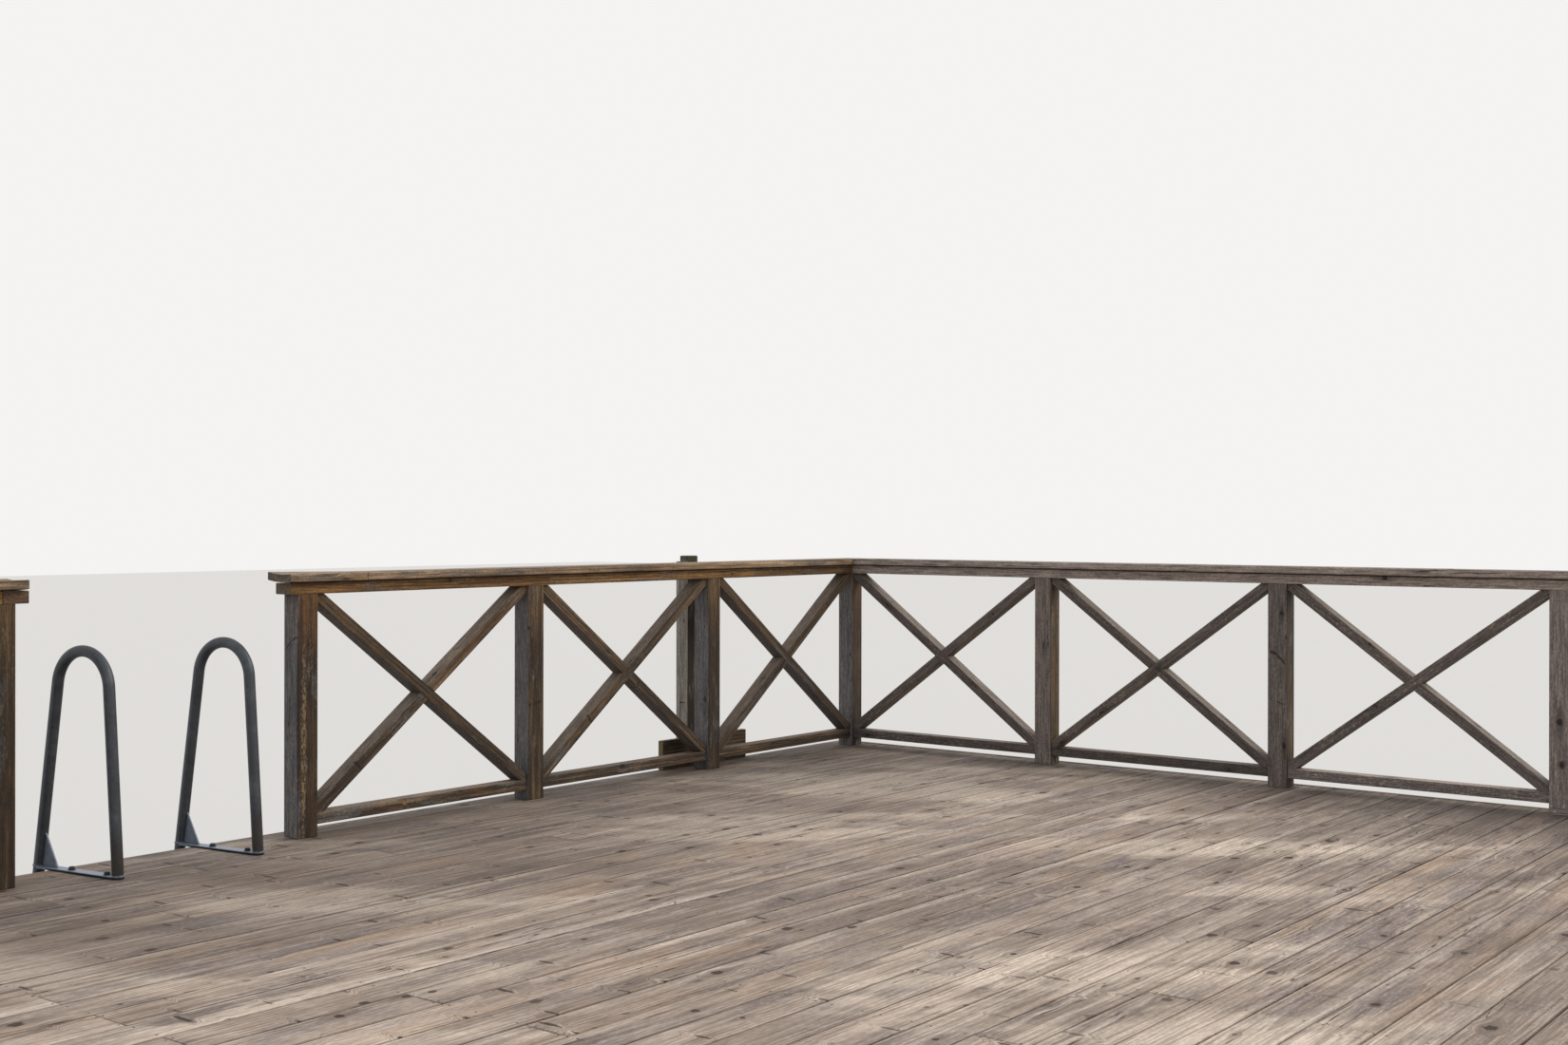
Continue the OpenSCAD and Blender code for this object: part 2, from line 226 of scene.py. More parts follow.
# The same timber along the right side, bleached further
sideTimber = dict(
    lakeTimber, base="#483825", light="#7d6444", dark="#2a2117", grey="#857a74", warm="#72502c",
    knot="#251d18", crack="#251e1a", end="#554b44", bleached="#7d6342", damp="#3d3226",
    lichen="#ab9a7b", shelter="#5e4a30", warmShare=0.6, weatherShare=0.8, shelterShare=0.2,
    toneSpread=0.5, lichenShare=0.35,
    marks=(((-0.045, -2.410, 0.628), (-0.045, -2.456, 0.607), 20, "crack", 0.85),
           ((-0.045, -2.442, 0.616), (-0.045, -2.496, 0.558), 15, "crack", 0.85),
           ((-0.045, -2.430, 0.598), (-0.045, -2.490, 0.544), 10, "light", 0.6),
           ((-0.045, -2.488, 0.690), (-0.045, -2.502, 0.684), 18, "knot", 0.9),
           ((-0.045, -2.432, 0.384), (-0.045, -2.495, 0.364), 8, "light", 0.5),
           ((-0.045, -2.438, 0.396), (-0.045, -2.495, 0.378), 10, "crack", 0.6),
           ((-0.045, -3.668, 0.210), (-0.045, -3.694, 0.210), 50, "dark", 0.6),
           ((-0.045, -3.676, 0.211), (-0.045, -3.686, 0.211), 34, "knot", 0.9)))
# its braces and bottom rails are darker in front and silvery above from painted sky light
sideRailTimber = dict(sideTimber, grey="#675e5a", sky="#8d8178", skyShare=0.85, toneSpread=0.4, marks=())
# The first post by the ladder keeps its orange under the cap and has a streak of lichen
ladderPostTimber = dict(
    lakeTimber, shelterShare=0.75, lichenShare=0.4, lichen="#9c8566", shelter="#785430",
    marks=(((-3.645, -0.045, 0.02), (-3.645, -0.045, 0.93), 16, "dark", 0.9),
           ((-3.622, -0.045, -0.10), (-3.619, -0.045, 0.84), 30, "lichen", 0.65),
           ((-3.645, 0.037, 0.724), (-3.645, 0.000, 0.755), 10, "crack", 0.9),
           ((-3.645, 0.003, 0.753), (-3.645, -0.043, 0.775), 10, "crack", 0.9),
           ((-3.645, 0.018, 0.720), (-3.645, -0.010, 0.749), 8, "crack", 0.8)))
# Caps take the most sun and are pale brown, with painted sky light on top,
lakeCapTimber = dict(
    lakeTimber, base="#917960", light="#cdb18d", dark="#493929", grey="#6c6660", warm="#9a744a",
    end="#4b4139", bleached="#bb9c75", damp="#5f4b35", sky="#a09080", streak=(1400, 16),
    ringDepth=0.75, knotApart=120, spikeShare=0, weatherShare=0.4, skyShare=0.75, shelterShare=0,
    toneSpread=0.3, lichenShare=0.3, marks=())
# the beams under them keep more of their orange,
lakeBeamTimber = dict(
    lakeCapTimber, base="#76562f", light="#b08650", dark="#422d17", warm="#98632c",
    bleached="#b58a55", damp="#523a20")
# and both are a silvery brown along the right side
sideCapTimber = dict(
    sideTimber, base="#8d7d6f", light="#cabda9", dark="#4b4038", grey="#a4968d", warm="#a0876a",
    bleached="#b5a48f", damp="#6a5c50", sky="#a3978c", streak=(1400, 16), ringDepth=0.75,
    knotApart=120, spikeShare=0, weatherShare=0.7, toneSpread=0.3, skyShare=0.6, shelterShare=0,
    marks=())
# Rough sawn frame timber under the deck, darker from damp
frameTimber = dict(
    lakeTimber, base="#7a6a58", light="#937f68", dark="#4f4337", grey="#6d675f", warm="#86694b",
    bleached="#8b7a66", damp="#5f5242", toneSpread=0.2, weatherShare=0, lichenShare=0.2,
    shelterShare=0, marks=(), fibreDepth=0.3, speckDepth=0.14, bump=1.0, roughness=0.85)
# Round softwood piles, stained dark by water
pileTimber = dict(
    frameTimber, base="#66584a", light="#7f6e5a", dark="#3e342b", grey="#5f5b53", warm="#6b563f",
    streak=(1500, 14), knotShare=0.3, bump=1.4)
# The mooring post and the board behind it: pale grey on the -X side, painted sky light taken also as rain
# bleaching; dark brown behind, deepened as painted shade of the narrow gap there; green film on top
mooringTimber = dict(
    sideTimber, base="#33291f", light="#4e4333", dark="#221b14", grey="#9f968b", warm="#3f3324",
    bleached="#473c2c", damp="#2a2219", lichen="#757050", shelter="#3f3d2a", warmShare=0.4,
    weatherShare=0.9, shelterShare=0.9, shelterFrom=(1.0, 1.03), marks=())


def scatterKnots(tree, look, along, girth):
    # one point in each cell of the unrolled faces: some are a knot, and some of those a faint one
    cell = (look["knotEvery"] * mm, look["knotApart"] * mm, 1)
    unrolled = addNode(tree, "CombineXYZ", {0: along, 1: girth})
    inCells = addNode(tree, "VectorMath", {"operation": "DIVIDE", 0: unrolled, 1: cell})
    points = addNode(tree, "TexVoronoi", {
        "voronoi_dimensions": "2D", "Scale": 1, "Randomness": 0.9, "Vector": inCells})
    chance = addNode(tree, "SeparateColor", {0: points.outputs["Color"]}).outputs
    there = addNode(tree, "MapRange", {
        "From Min": look["knotShare"], "From Max": 0.35 * look["knotShare"], 0: chance[0]})
    size = addNode(tree, "MapRange", {
        "To Min": 0.35 * look["knotSize"] * mm, "To Max": 1.25 * look["knotSize"] * mm, 0: chance[1]})
    # a branch that was sawn along its length shows as a spike across the piece
    spike = addNode(tree, "Math", {"operation": "LESS_THAN", 0: chance[2], 1: look["spikeShare"]})
    shape = addNode(tree, "Mix", {
        "data_type": "VECTOR", 0: spike, 4: (0.8, 1, 0), 5: (2.1, 0.38, 0)})
    away = addNode(tree, "VectorMath", {
        "operation": "SUBTRACT", 0: inCells, 1: points.outputs["Position"]})
    away = addNode(tree, "VectorMath", {"operation": "MULTIPLY", 0: away, 1: cell})
    # distances in knot sizes: near for the knot, tail for the stain that trails off along the grain
    far = []
    for stretch in (shape, (0.22, 1, 0)):
        oval = addNode(tree, "VectorMath", {"operation": "MULTIPLY", 0: away, 1: stretch})
        length = addNode(tree, "VectorMath", {"operation": "LENGTH", 0: oval})
        far.append(addNode(tree, "Math", {"operation": "DIVIDE", 0: length, 1: size}))
    near, tail = far
    aside = addNode(tree, "SeparateXYZ", {0: away}).outputs["Y"]
    return there, near, tail, aside


def weatheredTimber(name, look):
    material, tree = newMaterial(name)
    read = {}
    for key in ("grain", "skin", "tone", "endFace", "across"):
        made = addNode(tree, "Attribute", {"attribute_name": key})
        read[key] = made.outputs["Vector" if key in ("grain", "skin") else "Fac"]
    geometry = addNode(tree, "NewGeometry").outputs
    grain, skin, place, normal = (
        addNode(tree, "SeparateXYZ", {0: source}).outputs
        for source in (read["grain"], read["skin"], geometry["Position"], geometry["True Normal"]))
    pieceSeed = addNode(tree, "Math", {"operation": "MULTIPLY", 0: read["tone"], 1: 97})
    pieceNoise = addNode(tree, "TexWhiteNoise", {"noise_dimensions": "1D", "W": pieceSeed})
    chance = addNode(tree, "SeparateColor", {0: pieceNoise.outputs["Color"]}).outputs

    # the fibres part round a knot, so the lines are pushed aside there
    anyKnot, near, tail, aside = scatterKnots(tree, look, grain["X"], skin["X"])
    longFace = addNode(tree, "Math", {"operation": "SUBTRACT", 0: 1, 1: read["endFace"]})
    there = addNode(tree, "Math", {"operation": "MULTIPLY", 0: anyKnot, 1: longFace})
    push = addNode(tree, "MapRange", {
        "interpolation_type": "SMOOTHSTEP", "From Min": 0.8, "From Max": 3.6, "To Min": 0.8,
        "To Max": 0, 0: near})
    for factor in (there, aside):
        push = addNode(tree, "Math", {"operation": "MULTIPLY", 0: push, 1: factor})
    roundWay = addNode(tree, "CombineXYZ", {1: skin["Y"], 2: skin["Z"]})
    pushed = addNode(tree, "VectorMath", {"operation": "SCALE", 0: roundWay, "Scale": push})
    bent = addNode(tree, "VectorMath", {"operation": "SUBTRACT", 0: read["grain"], 1: pushed})

    # growth rings lie round the pith and wander a little along the length
    wanderPlace = addNode(tree, "VectorMath", {"operation": "MULTIPLY", 0: bent, 1: (1.1, 6, 6)})
    wander = addNode(tree, "TexNoise", {"Scale": 1, "Detail": 2, "Vector": wanderPlace})
    bentSplit = addNode(tree, "SeparateXYZ", {0: bent}).outputs
    section = addNode(tree, "CombineXYZ", {0: bentSplit["Y"], 1: bentSplit["Z"]})
    fromPith = addNode(tree, "VectorMath", {"operation": "LENGTH", 0: section})
    ring = addNode(tree, "Math", {
        "operation": "MULTIPLY_ADD", 0: wander, 1: look["wander"] * mm, 2: fromPith})
    ringPlace = addNode(tree, "CombineXYZ", {0: bentSplit["X"], 1: ring})
    ringCount = addNode(tree, "Math", {"operation": "DIVIDE", 0: ring, 1: look["ringGap"] * mm})
    ringPart = addNode(tree, "Math", {"operation": "FRACT", 0: ringCount})

    pattern = {"wander": wander, "ring": ringPart, "tail": tail, "height": place["Z"]}
    for key, source, detail, rough in (
            ("streak", ringPlace, 5, 0.66), ("fibre", bent, 3, 0.6), ("mottle", bent, 5, 0.62),
            ("check", bent, 2, 0.5), ("speck", read["grain"], 2, 0.6)):
        along, wide = look[key]
        stretched = addNode(tree, "VectorMath", {
            "operation": "MULTIPLY", 0: source, 1: (1000 / along, 1000 / wide, 1000 / wide)})
        pattern[key] = addNode(tree, "TexNoise", {
            "Scale": 1, "Detail": detail, "Roughness": rough, "Vector": stretched})
    # distance from the nearest of a few wandering lines, for the drying cracks
    offLine = addNode(tree, "Math", {"operation": "SUBTRACT", 0: pattern["check"], 1: 0.5})
    pattern["crack"] = addNode(tree, "Math", {"operation": "ABSOLUTE", 0: offLine})
    pattern["middle"] = addNode(tree, "Math", {"operation": "ABSOLUTE", 0: read["across"]})
    # feet and rain wear one edge of a board pale, more on some boards than on others
    leaning = addNode(tree, "MapRange", {"To Min": -1, "To Max": 1, 0: chance[1]})
    pattern["lean"] = addNode(tree, "Math", {"operation": "MULTIPLY", 0: leaning, 1: read["across"]})
    ragged = addNode(tree, "MapRange", {
        "From Min": 0.3, "From Max": 0.7, "To Min": 0.75, "To Max": 1.3, 0: pattern["speck"]})
    pattern["heart"] = addNode(tree, "Math", {"operation": "MULTIPLY", 0: near, 1: ragged})

    # painted dappled sunlight and shade: wide light and dark patches across several boards, turned to run
    # like patches of sun, taken also as sun bleaching and damp
    turned = addNode(tree, "VectorRotate", {
        "rotation_type": "Z_AXIS", "Angle": math.radians(52), "Vector": geometry["Position"]})
    patchPlace = addNode(tree, "VectorMath", {"operation": "MULTIPLY", 0: turned, 1: (0.5, 1.5, 1.5)})
    pattern["patch"] = addNode(tree, "TexNoise", {
        "Scale": 1, "Detail": 4, "Roughness": 0.6, "Vector": patchPlace})
    # painted shade: boards near the two railings are darkened as in the railings' shadow, in a narrower
    # band along the side
    besideRight = addNode(tree, "Math", {"operation": "SUBTRACT", 0: corner.x, 1: place["X"]})
    fromSide = addNode(tree, "Math", {"operation": "MULTIPLY", 0: besideRight, 1: 2.5})
    fromLake = addNode(tree, "Math", {"operation": "SUBTRACT", 0: corner.y, 1: place["Y"]})
    pattern["fromRail"] = addNode(tree, "Math", {"operation": "MINIMUM", 0: fromSide, 1: fromLake})
    topFilm = addNode(tree, "Math", {"operation": "GREATER_THAN", 0: place["Z"], 1: corner.z + 1})

    # each share is a soft step: its pattern from start to stop becomes low to high
    shelterFoot, shelterTop = look["shelterFrom"]
    share = {}
    for key, source, start, stop, low, high in (
            ("pale", "streak", 0.50, 0.68, 0, 0.9 * look["streakShare"]),
            ("darkStreak", "streak", 0.49, 0.32, 0, 0.85 * look["streakShare"]),
            ("greyPatch", "mottle", 0.50, 0.66, 0, 0.7),
            ("warmPatch", "mottle", 0.52, 0.36, 0, look["warmShare"]),
            ("lateWood", "ring", 0.35, 0.95, 0, 1),
            ("ringDepth", "streak", 0.60, 0.42, 0.25, look["ringDepth"]),
            ("wornSide", "lean", 0.20, 0.75, 0, 1),
            ("wornSpot", "wander", 0.42, 0.58, 0, look["wornEdge"]),
            ("fibreTone", "fibre", 0.32, 0.68, 1 - look["fibreDepth"], 1 + 0.8 * look["fibreDepth"]),
            ("speckTone", "speck", 0.32, 0.68, 1 - look["speckDepth"], 1 + 0.8 * look["speckDepth"]),
            ("crackLine", "crack", 0.014, 0.002, 0, 0.9), ("crackSpot", "wander", 0.52, 0.60, 0, 1),
            ("stain", "tail", 2.2, 0.5, 0, 0.5), ("heart", "heart", 1.15, 0.7, 0, look["heartShare"]),
            # painted patches of sunlight and shade, also bleaching and damp
            ("bleached", "patch", 0.50, 0.64, 0, look["bleachedShare"]),
            ("damp", "patch", 0.47, 0.34, 0, look["dampShare"]),
            ("lichenSpot", "speck", 0.57, 0.66, 0, 1), ("lichenCrust", "speck", 0.44, 0.60, 0.15, 1),
            ("lichenPatch", "mottle", 0.46, 0.60, 0, look["lichenShare"]),
            ("shelter", "height", corner.z + shelterFoot, corner.z + shelterTop, 0, look["shelterShare"]),
            ("railShade", "fromRail", 2.3, 0.2, 1, 1 - look["railShade"]),
            ("joint", "middle", 0.972, 0.992, 0, look["jointShare"])):
        share[key] = addNode(tree, "MapRange", {
            "interpolation_type": "SMOOTHSTEP", "From Min": start, "From Max": stop, "To Min": low,
            "To Max": high, 0: pattern[source]})
    for key, first, second in (
            ("ringLine", share["lateWood"], share["ringDepth"]),
            ("worn", share["wornSide"], share["wornSpot"]),
            ("crackHere", share["crackLine"], share["crackSpot"]),
            ("stainHere", share["stain"], there), ("heartHere", share["heart"], there),
            ("warmHere", share["warmPatch"], chance[0]), ("endGrain", read["endFace"], 0.6),
            ("lichen", share["lichenSpot"], share["lichenPatch"]),
            ("shelterTop", share["shelter"], topFilm),
            ("fibreSpeck", share["fibreTone"], share["speckTone"])):
        share[key] = addNode(tree, "Math", {"operation": "MULTIPLY", 0: first, 1: second})
    fineTone = addNode(tree, "Math", {
        "operation": "MULTIPLY", 0: share["fibreSpeck"], 1: share["railShade"]})
    # painted sky light: faces towards -X are greyed as the sky-lit shaded side, taken also as rain
    # bleaching, and a face that looks up is lightened as lit by the sky, taken also as sun bleaching
    for key, source, start, stop, high in (
            ("rainSide", normal["X"], -0.4, -0.9, look["weatherShare"]),
            ("skySide", normal["Z"], 0.25, 0.7, look["skyShare"])):
        share[key] = addNode(tree, "MapRange", {
            "From Min": start, "From Max": stop, "To Max": high, 0: source})

    # the mixes below include painted light: sunlit and shaded patches, the sky-lit -X side and sky-lit tops
    colour = linear(look["base"])
    for key, paint in (
            ("pale", "light"), ("darkStreak", "dark"), ("greyPatch", "grey"), ("warmHere", "warm"),
            ("shelter", "shelter"), ("bleached", "bleached"), ("damp", "damp"), ("ringLine", "dark"),
            ("worn", "light"), ("rainSide", "grey"), ("skySide", "sky"), ("shelterTop", "shelter"),
            ("lichen", "lichen")):
        colour = addNode(tree, "Mix", {
            "data_type": "RGBA", 0: share[key], 6: colour, 7: linear(look[paint])})
    # a lighter or darker tone for each piece, with its fine fibres and specks, and the painted shade beside
    # the railings
    pieceTone = addNode(tree, "MapRange", {
        "clamp": False, "To Min": 1 - look["toneSpread"] / 2, "To Max": 1 + look["toneSpread"] / 2,
        0: read["tone"]})
    value = addNode(tree, "Math", {"operation": "MULTIPLY", 0: fineTone, 1: pieceTone})
    colour = addNode(tree, "HueSaturation", {"Value": value, "Color": colour})
    # end grain drinks water and turns dark, and dirt settles in the joints
    for key, paint in (("crackHere", "crack"), ("stainHere", "dark"), ("heartHere", "knot"),
                       ("endGrain", "end"), ("joint", "joint")):
        colour = addNode(tree, "Mix", {
            "data_type": "RGBA", 0: share[key], 6: colour, 7: linear(look[paint])})
    if look["marks"]:
        colour = paintMarks(tree, look, colour, geometry["Position"], share["lichenCrust"])

    # late wood stands proud, cracks and knots lie low
    relief = addNode(tree, "Math", {
        "operation": "MULTIPLY_ADD", 0: share["lateWood"], 1: 0.35, 2: pattern["fibre"]})
    hollow = addNode(tree, "Math", {
        "operation": "ADD", 0: share["crackHere"], 1: share["heartHere"]})
    height = addNode(tree, "Math", {"operation": "MULTIPLY_ADD", 0: hollow, 1: -0.8, 2: relief})
    bump = addNode(tree, "Bump", {"Strength": 0.7, "Distance": look["bump"] * mm, "Height": height})
    rough = addNode(tree, "MapRange", {
        "To Min": look["roughness"] - 0.1, "To Max": look["roughness"] + 0.12, 0: pattern["mottle"]})
    shader = addNode(tree, "BsdfPrincipled", {
        "IOR": 1.45, "Base Color": colour, "Roughness": rough, "Normal": bump})
    addNode(tree, "OutputMaterial", {"Surface": shader})
    return material


def paintMarks(tree, look, colour, place, crust):
    # each mark is a spindle between its two ends, a little bent by the grain; lichen is broken up
    bends = addNode(tree, "TexNoise", {"Scale": 45, "Detail": 1, "Vector": place})
    offset = addNode(tree, "VectorMath", {
        "operation": "SUBTRACT", 0: bends.outputs["Color"], 1: (0.5, 0.5, 0.5)})
    bentPlace = addNode(tree, "VectorMath", {
        "operation": "MULTIPLY_ADD", 0: offset, 1: (9 * mm, 9 * mm, 9 * mm), 2: place})
    for first, last, wide, paint, strength in look["marks"]:
        along = Vector(last) - Vector(first)
        local = addNode(tree, "Mapping", {
            "vector_type": "TEXTURE", "Location": corner + (Vector(first) + Vector(last)) / 2,
            "Rotation": along.to_track_quat("X", "Z").to_euler(), "Vector": bentPlace,
            "Scale": (along.length / 2 + wide / 6 * mm, 12 * mm, wide / 2 * mm)})
        away = addNode(tree, "VectorMath", {"operation": "LENGTH", 0: local})
        inside = addNode(tree, "MapRange", {
            "interpolation_type": "SMOOTHSTEP", "From Min": 1, "From Max": 0.5, "To Max": strength,
            0: away})
        if paint == "lichen":
            inside = addNode(tree, "Math", {"operation": "MULTIPLY", 0: inside, 1: crust})
        colour = addNode(tree, "Mix", {
            "data_type": "RGBA", 0: inside, 6: colour, 7: linear(look[paint])})
    return colour


# Metal finishes

# Hot-dip galvanised steel tube, dulled to a dark blue grey, with faint zinc spangle and rubbed patches
zincTube = {
    "base": "#4c5055", "light": "#5f6368", "dark": "#3f4347", "rubbed": "#5f6368",
    "dust": "#8d8a82", "dirt": "#23262b", "spangle": 14, "patch": 90, "roughness": 0.5,
    "rubShare": 0, "dustShare": 0.55, "dirtShare": 0,
}
# The flat bars and gussets are bluer, with a painted sky reflection making the bars pale on top
zincPlate = dict(
    zincTube, base="#5d6572", light="#78808c", dark="#484e58", rubbed="#989eac", spangle=9,
    patch=40, rubShare=0.85, dustShare=0, dirtShare=1)
# Bolts and washers, gone dark blue
darkBolt = dict(
    zincTube, base="#383d45", light="#50565f", dark="#272b31", spangle=6, patch=20, dustShare=0)
# Stainless deck screws, browned by the timber
deckScrew = dict(
    zincTube, base="#5a5149", light="#736a61", dark="#3c342e", spangle=4, patch=400,
    roughness=0.55, dustShare=0)
# and a new one, still bright
newScrew = dict(deckScrew, base="#c9c6c1", light="#dedbd6", dark="#a5a29d", roughness=0.35)


def dullMetal(name, look):
    material, tree = newMaterial(name)
    geometry = addNode(tree, "NewGeometry").outputs
    place, normal = (addNode(tree, "SeparateXYZ", {0: geometry[key]}).outputs
                     for key in ("Position", "True Normal"))
    cells = addNode(tree, "TexVoronoi", {
        "Scale": 1000 / look["spangle"], "Vector": geometry["Position"]})
    cellTone = addNode(tree, "SeparateColor", {0: cells.outputs["Color"]})
    patches = addNode(tree, "TexNoise", {
        "Scale": 1000 / look["patch"], "Detail": 4, "Roughness": 0.65, "Vector": geometry["Position"]})
    # dust from the deck pales the foot of a leg, with painted light lifting it against the dark deck it
    # mirrors, and the lowest mm of a bar is darkened along its foot; neither reaches beyond the deck's edge
    overDeck = addNode(tree, "Math", {"operation": "LESS_THAN", 0: place["Y"], 1: corner.y + 0.15})
    colour = linear(look["base"])
    for paint, source, step, start, stop, most, where in (
            ("light", patches, "SMOOTHSTEP", 0.52, 0.72, 0.8, None),
            ("dark", patches, "SMOOTHSTEP", 0.48, 0.30, 0.8, None),
            # a painted sky reflection on faces that look up
            ("rubbed", normal["Z"], "LINEAR", 0.5, 0.95, look["rubShare"], None),
            # the foot of a leg: pale dust, and painted light lifting it against the dark deck it mirrors
            ("dust", place["Z"], "LINEAR", corner.z + 0.16, corner.z + 0.01, look["dustShare"], overDeck),
            # the lowest mm of a bar is darkened along its foot
            ("dirt", place["Z"], "LINEAR", corner.z + 0.0058, corner.z + 0.0045, look["dirtShare"],
             overDeck)):
        share = addNode(tree, "MapRange", {
            "interpolation_type": step, "From Min": start, "From Max": stop, "To Max": most, 0: source})
        if where is not None:
            share = addNode(tree, "Math", {"operation": "MULTIPLY", 0: share, 1: where})
        colour = addNode(tree, "Mix", {
            "data_type": "RGBA", 0: share, 6: colour, 7: linear(look[paint])})
    value = addNode(tree, "MapRange", {"To Min": 0.92, "To Max": 1.08, 0: cellTone})
    toned = addNode(tree, "HueSaturation", {"Value": value, "Color": colour})
    rough = addNode(tree, "MapRange", {
        "From Min": 0.3, "From Max": 0.7, "To Min": look["roughness"] - 0.05,
        "To Max": look["roughness"] + 0.07, 0: patches})
    bump = addNode(tree, "Bump", {"Strength": 0.25, "Distance": 0.4 * mm, "Height": patches})
    shader = addNode(tree, "BsdfPrincipled", {
        "Metallic": 0.7, "Base Color": toned, "Roughness": rough, "Normal": bump})
    addNode(tree, "OutputMaterial", {"Surface": shader})
    return material


finishes = {
    "deck": weatheredTimber("weathered deck boards", deckTimber),
    "lake": weatheredTimber("weathered brown posts", lakeTimber),
    "ladderPost": weatheredTimber("lichened orange post", ladderPostTimber),
    "lakeRail": weatheredTimber("weathered brown rails", lakeRailTimber),
    "lakeBeam": weatheredTimber("weathered orange beams", lakeBeamTimber),
    "plank": weatheredTimber("weathered plank", plankTimber),
    "side": weatheredTimber("weathered grey posts", sideTimber),
    "sideRail": weatheredTimber("weathered grey rails", sideRailTimber),
    "lakeCap": weatheredTimber("weathered brown caps", lakeCapTimber),
    "sideCap": weatheredTimber("weathered grey caps", sideCapTimber),
    "frame": weatheredTimber("sawn frame timber", frameTimber),
    "pile": weatheredTimber("water-stained piles", pileTimber),
    "mooring": weatheredTimber("green-filmed mooring timber", mooringTimber),
    "tube": dullMetal("galvanised steel tube", zincTube),
    "plate": dullMetal("galvanised flat bar", zincPlate),
    "bolt": dullMetal("darkened bolts", darkBolt),
    "screw": dullMetal("browned deck screws", deckScrew),
    "newScrew": dullMetal("bright deck screw", newScrew),
}
print("finishes made")


# Building blocks

def solidsOf(node):
    # lowest and highest corner of each separate solid in a CAD node
    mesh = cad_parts[node].data
    points = np.array([v.co for v in mesh.vertices])
    spots = {}
    home = [spots.setdefault(tuple(np.round(p, 5)), i) for i, p in enumerate(points)]
    leader = list(range(len(points)))

    def find(i):
        while leader[i] != i:
            leader[i] = leader[leader[i]]
            i = leader[i]
        return i

    for face in mesh.polygons:
        first = find(home[face.vertices[0]])
        for other in face.vertices[1:]:
            leader[find(home[other])] = first
    groups = {}
    for i in range(len(points)):
        groups.setdefault(find(home[i]), []).append(i)
    boxes = [(points[g].min(0), points[g].max(0)) for g in groups.values()]
    return sorted(boxes, key=lambda box: tuple(np.round(box[0], 4)))


def newHeap(seed):
    # what a piece is made of so far; the last five lists are what the timber finish reads at each point
    return {"random": random.Random(seed), "points": [], "faces": [], "count": 0,
            "grain": [], "skin": [], "tone": [], "endFace": [], "across": []}


def addShape(heap, points, faces, **surface):
    heap["faces"] += [tuple(heap["count"] + v for v in face) for face in faces]
    heap["points"].append(np.array(points))
    heap["count"] += len(points)
    for key, values in surface.items():
        heap[key].append(values)


def wrap(sides, rings, startFace=True, endFace=True, turned=False):
    # faces of a skin round a row of rings; turned where the rings run the other way round
    faces = []
    for level in range(rings - 1):
        low, high = level * sides, (level + 1) * sides
        for i in range(sides):
            j = (i + 1) % sides
            faces.append((low + i, low + j, high + j, high + i))
    if startFace:
        faces.append(tuple(range(sides - 1, -1, -1)))
    if endFace:
        faces.append(tuple((rings - 1) * sides + i for i in range(sides)))
    return [(face[0], *face[:0:-1]) for face in faces] if turned else faces


def makePiece(name, heap, material, nodes=(), smooth=False):
    mesh = bpy.data.meshes.new(name)
    mesh.from_pydata(np.concatenate(heap["points"]).tolist(), [], heap["faces"])
    if heap["grain"]:
        for keys, kind, field in ((("grain", "skin"), "FLOAT_VECTOR", "vector"),
                                  (("tone", "endFace", "across"), "FLOAT", "value")):
            for key in keys:
                values = np.concatenate(heap[key]).astype(np.float32).ravel()
                mesh.attributes.new(key, kind, "POINT").data.foreach_set(field, values)
    if smooth:
        mesh.shade_smooth()
    mesh.materials.append(material)
    piece = bpy.data.objects.new(name, mesh)
    scene.collection.objects.link(piece)
    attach(piece, "root")
    if nodes:
        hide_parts(*nodes)


def makeTimber(node, heap, finish, word="_timber"):
    makePiece(node + word, heap, finishes[finish], [node])


def makeMetal(name, heap, finish, nodes=(), smooth=False):
    makePiece(name, heap, finishes[finish], nodes, smooth)


def roundedSection(width, height, radius, flatCuts):
    # points round the section, v across and w up; extra points on top and below let a board cup
    points = []
    flat = width / 2 - radius
    between = [flat * (1 - 2 * (i + 1) / (flatCuts + 1)) for i in range(flatCuts)]
    for right, top, first in ((1, -1, -90), (1, 1, 0), (-1, 1, 90), (-1, -1, 180)):
        for step in range(3):
            angle = math.radians(first + 45 * step)
            points.append((right * (width / 2 - radius) + radius * math.cos(angle),
                           top * (height / 2 - radius) + radius * math.sin(angle)))
        if (right, top) == (1, 1):
            points += [(v, height / 2) for v in between]
    points += [(-v, -height / 2) for v in between]
    return np.array(points)


def unroll(v, w, width, height):
    # how far round the section each point lies, and which way that runs there
    gaps = np.abs(np.stack([w + height / 2, v - width / 2, w - height / 2, v + width / 2]))
    side = gaps.argmin(0)
    girth = np.choose(side, [v + width / 2, width + w + height / 2, 1.5 * width + height - v,
                             2 * width + 1.5 * height - w])
    return np.stack([girth, np.choose(side, [1, 0, -1, 0]), np.choose(side, [0, 1, 0, -1])], 1)


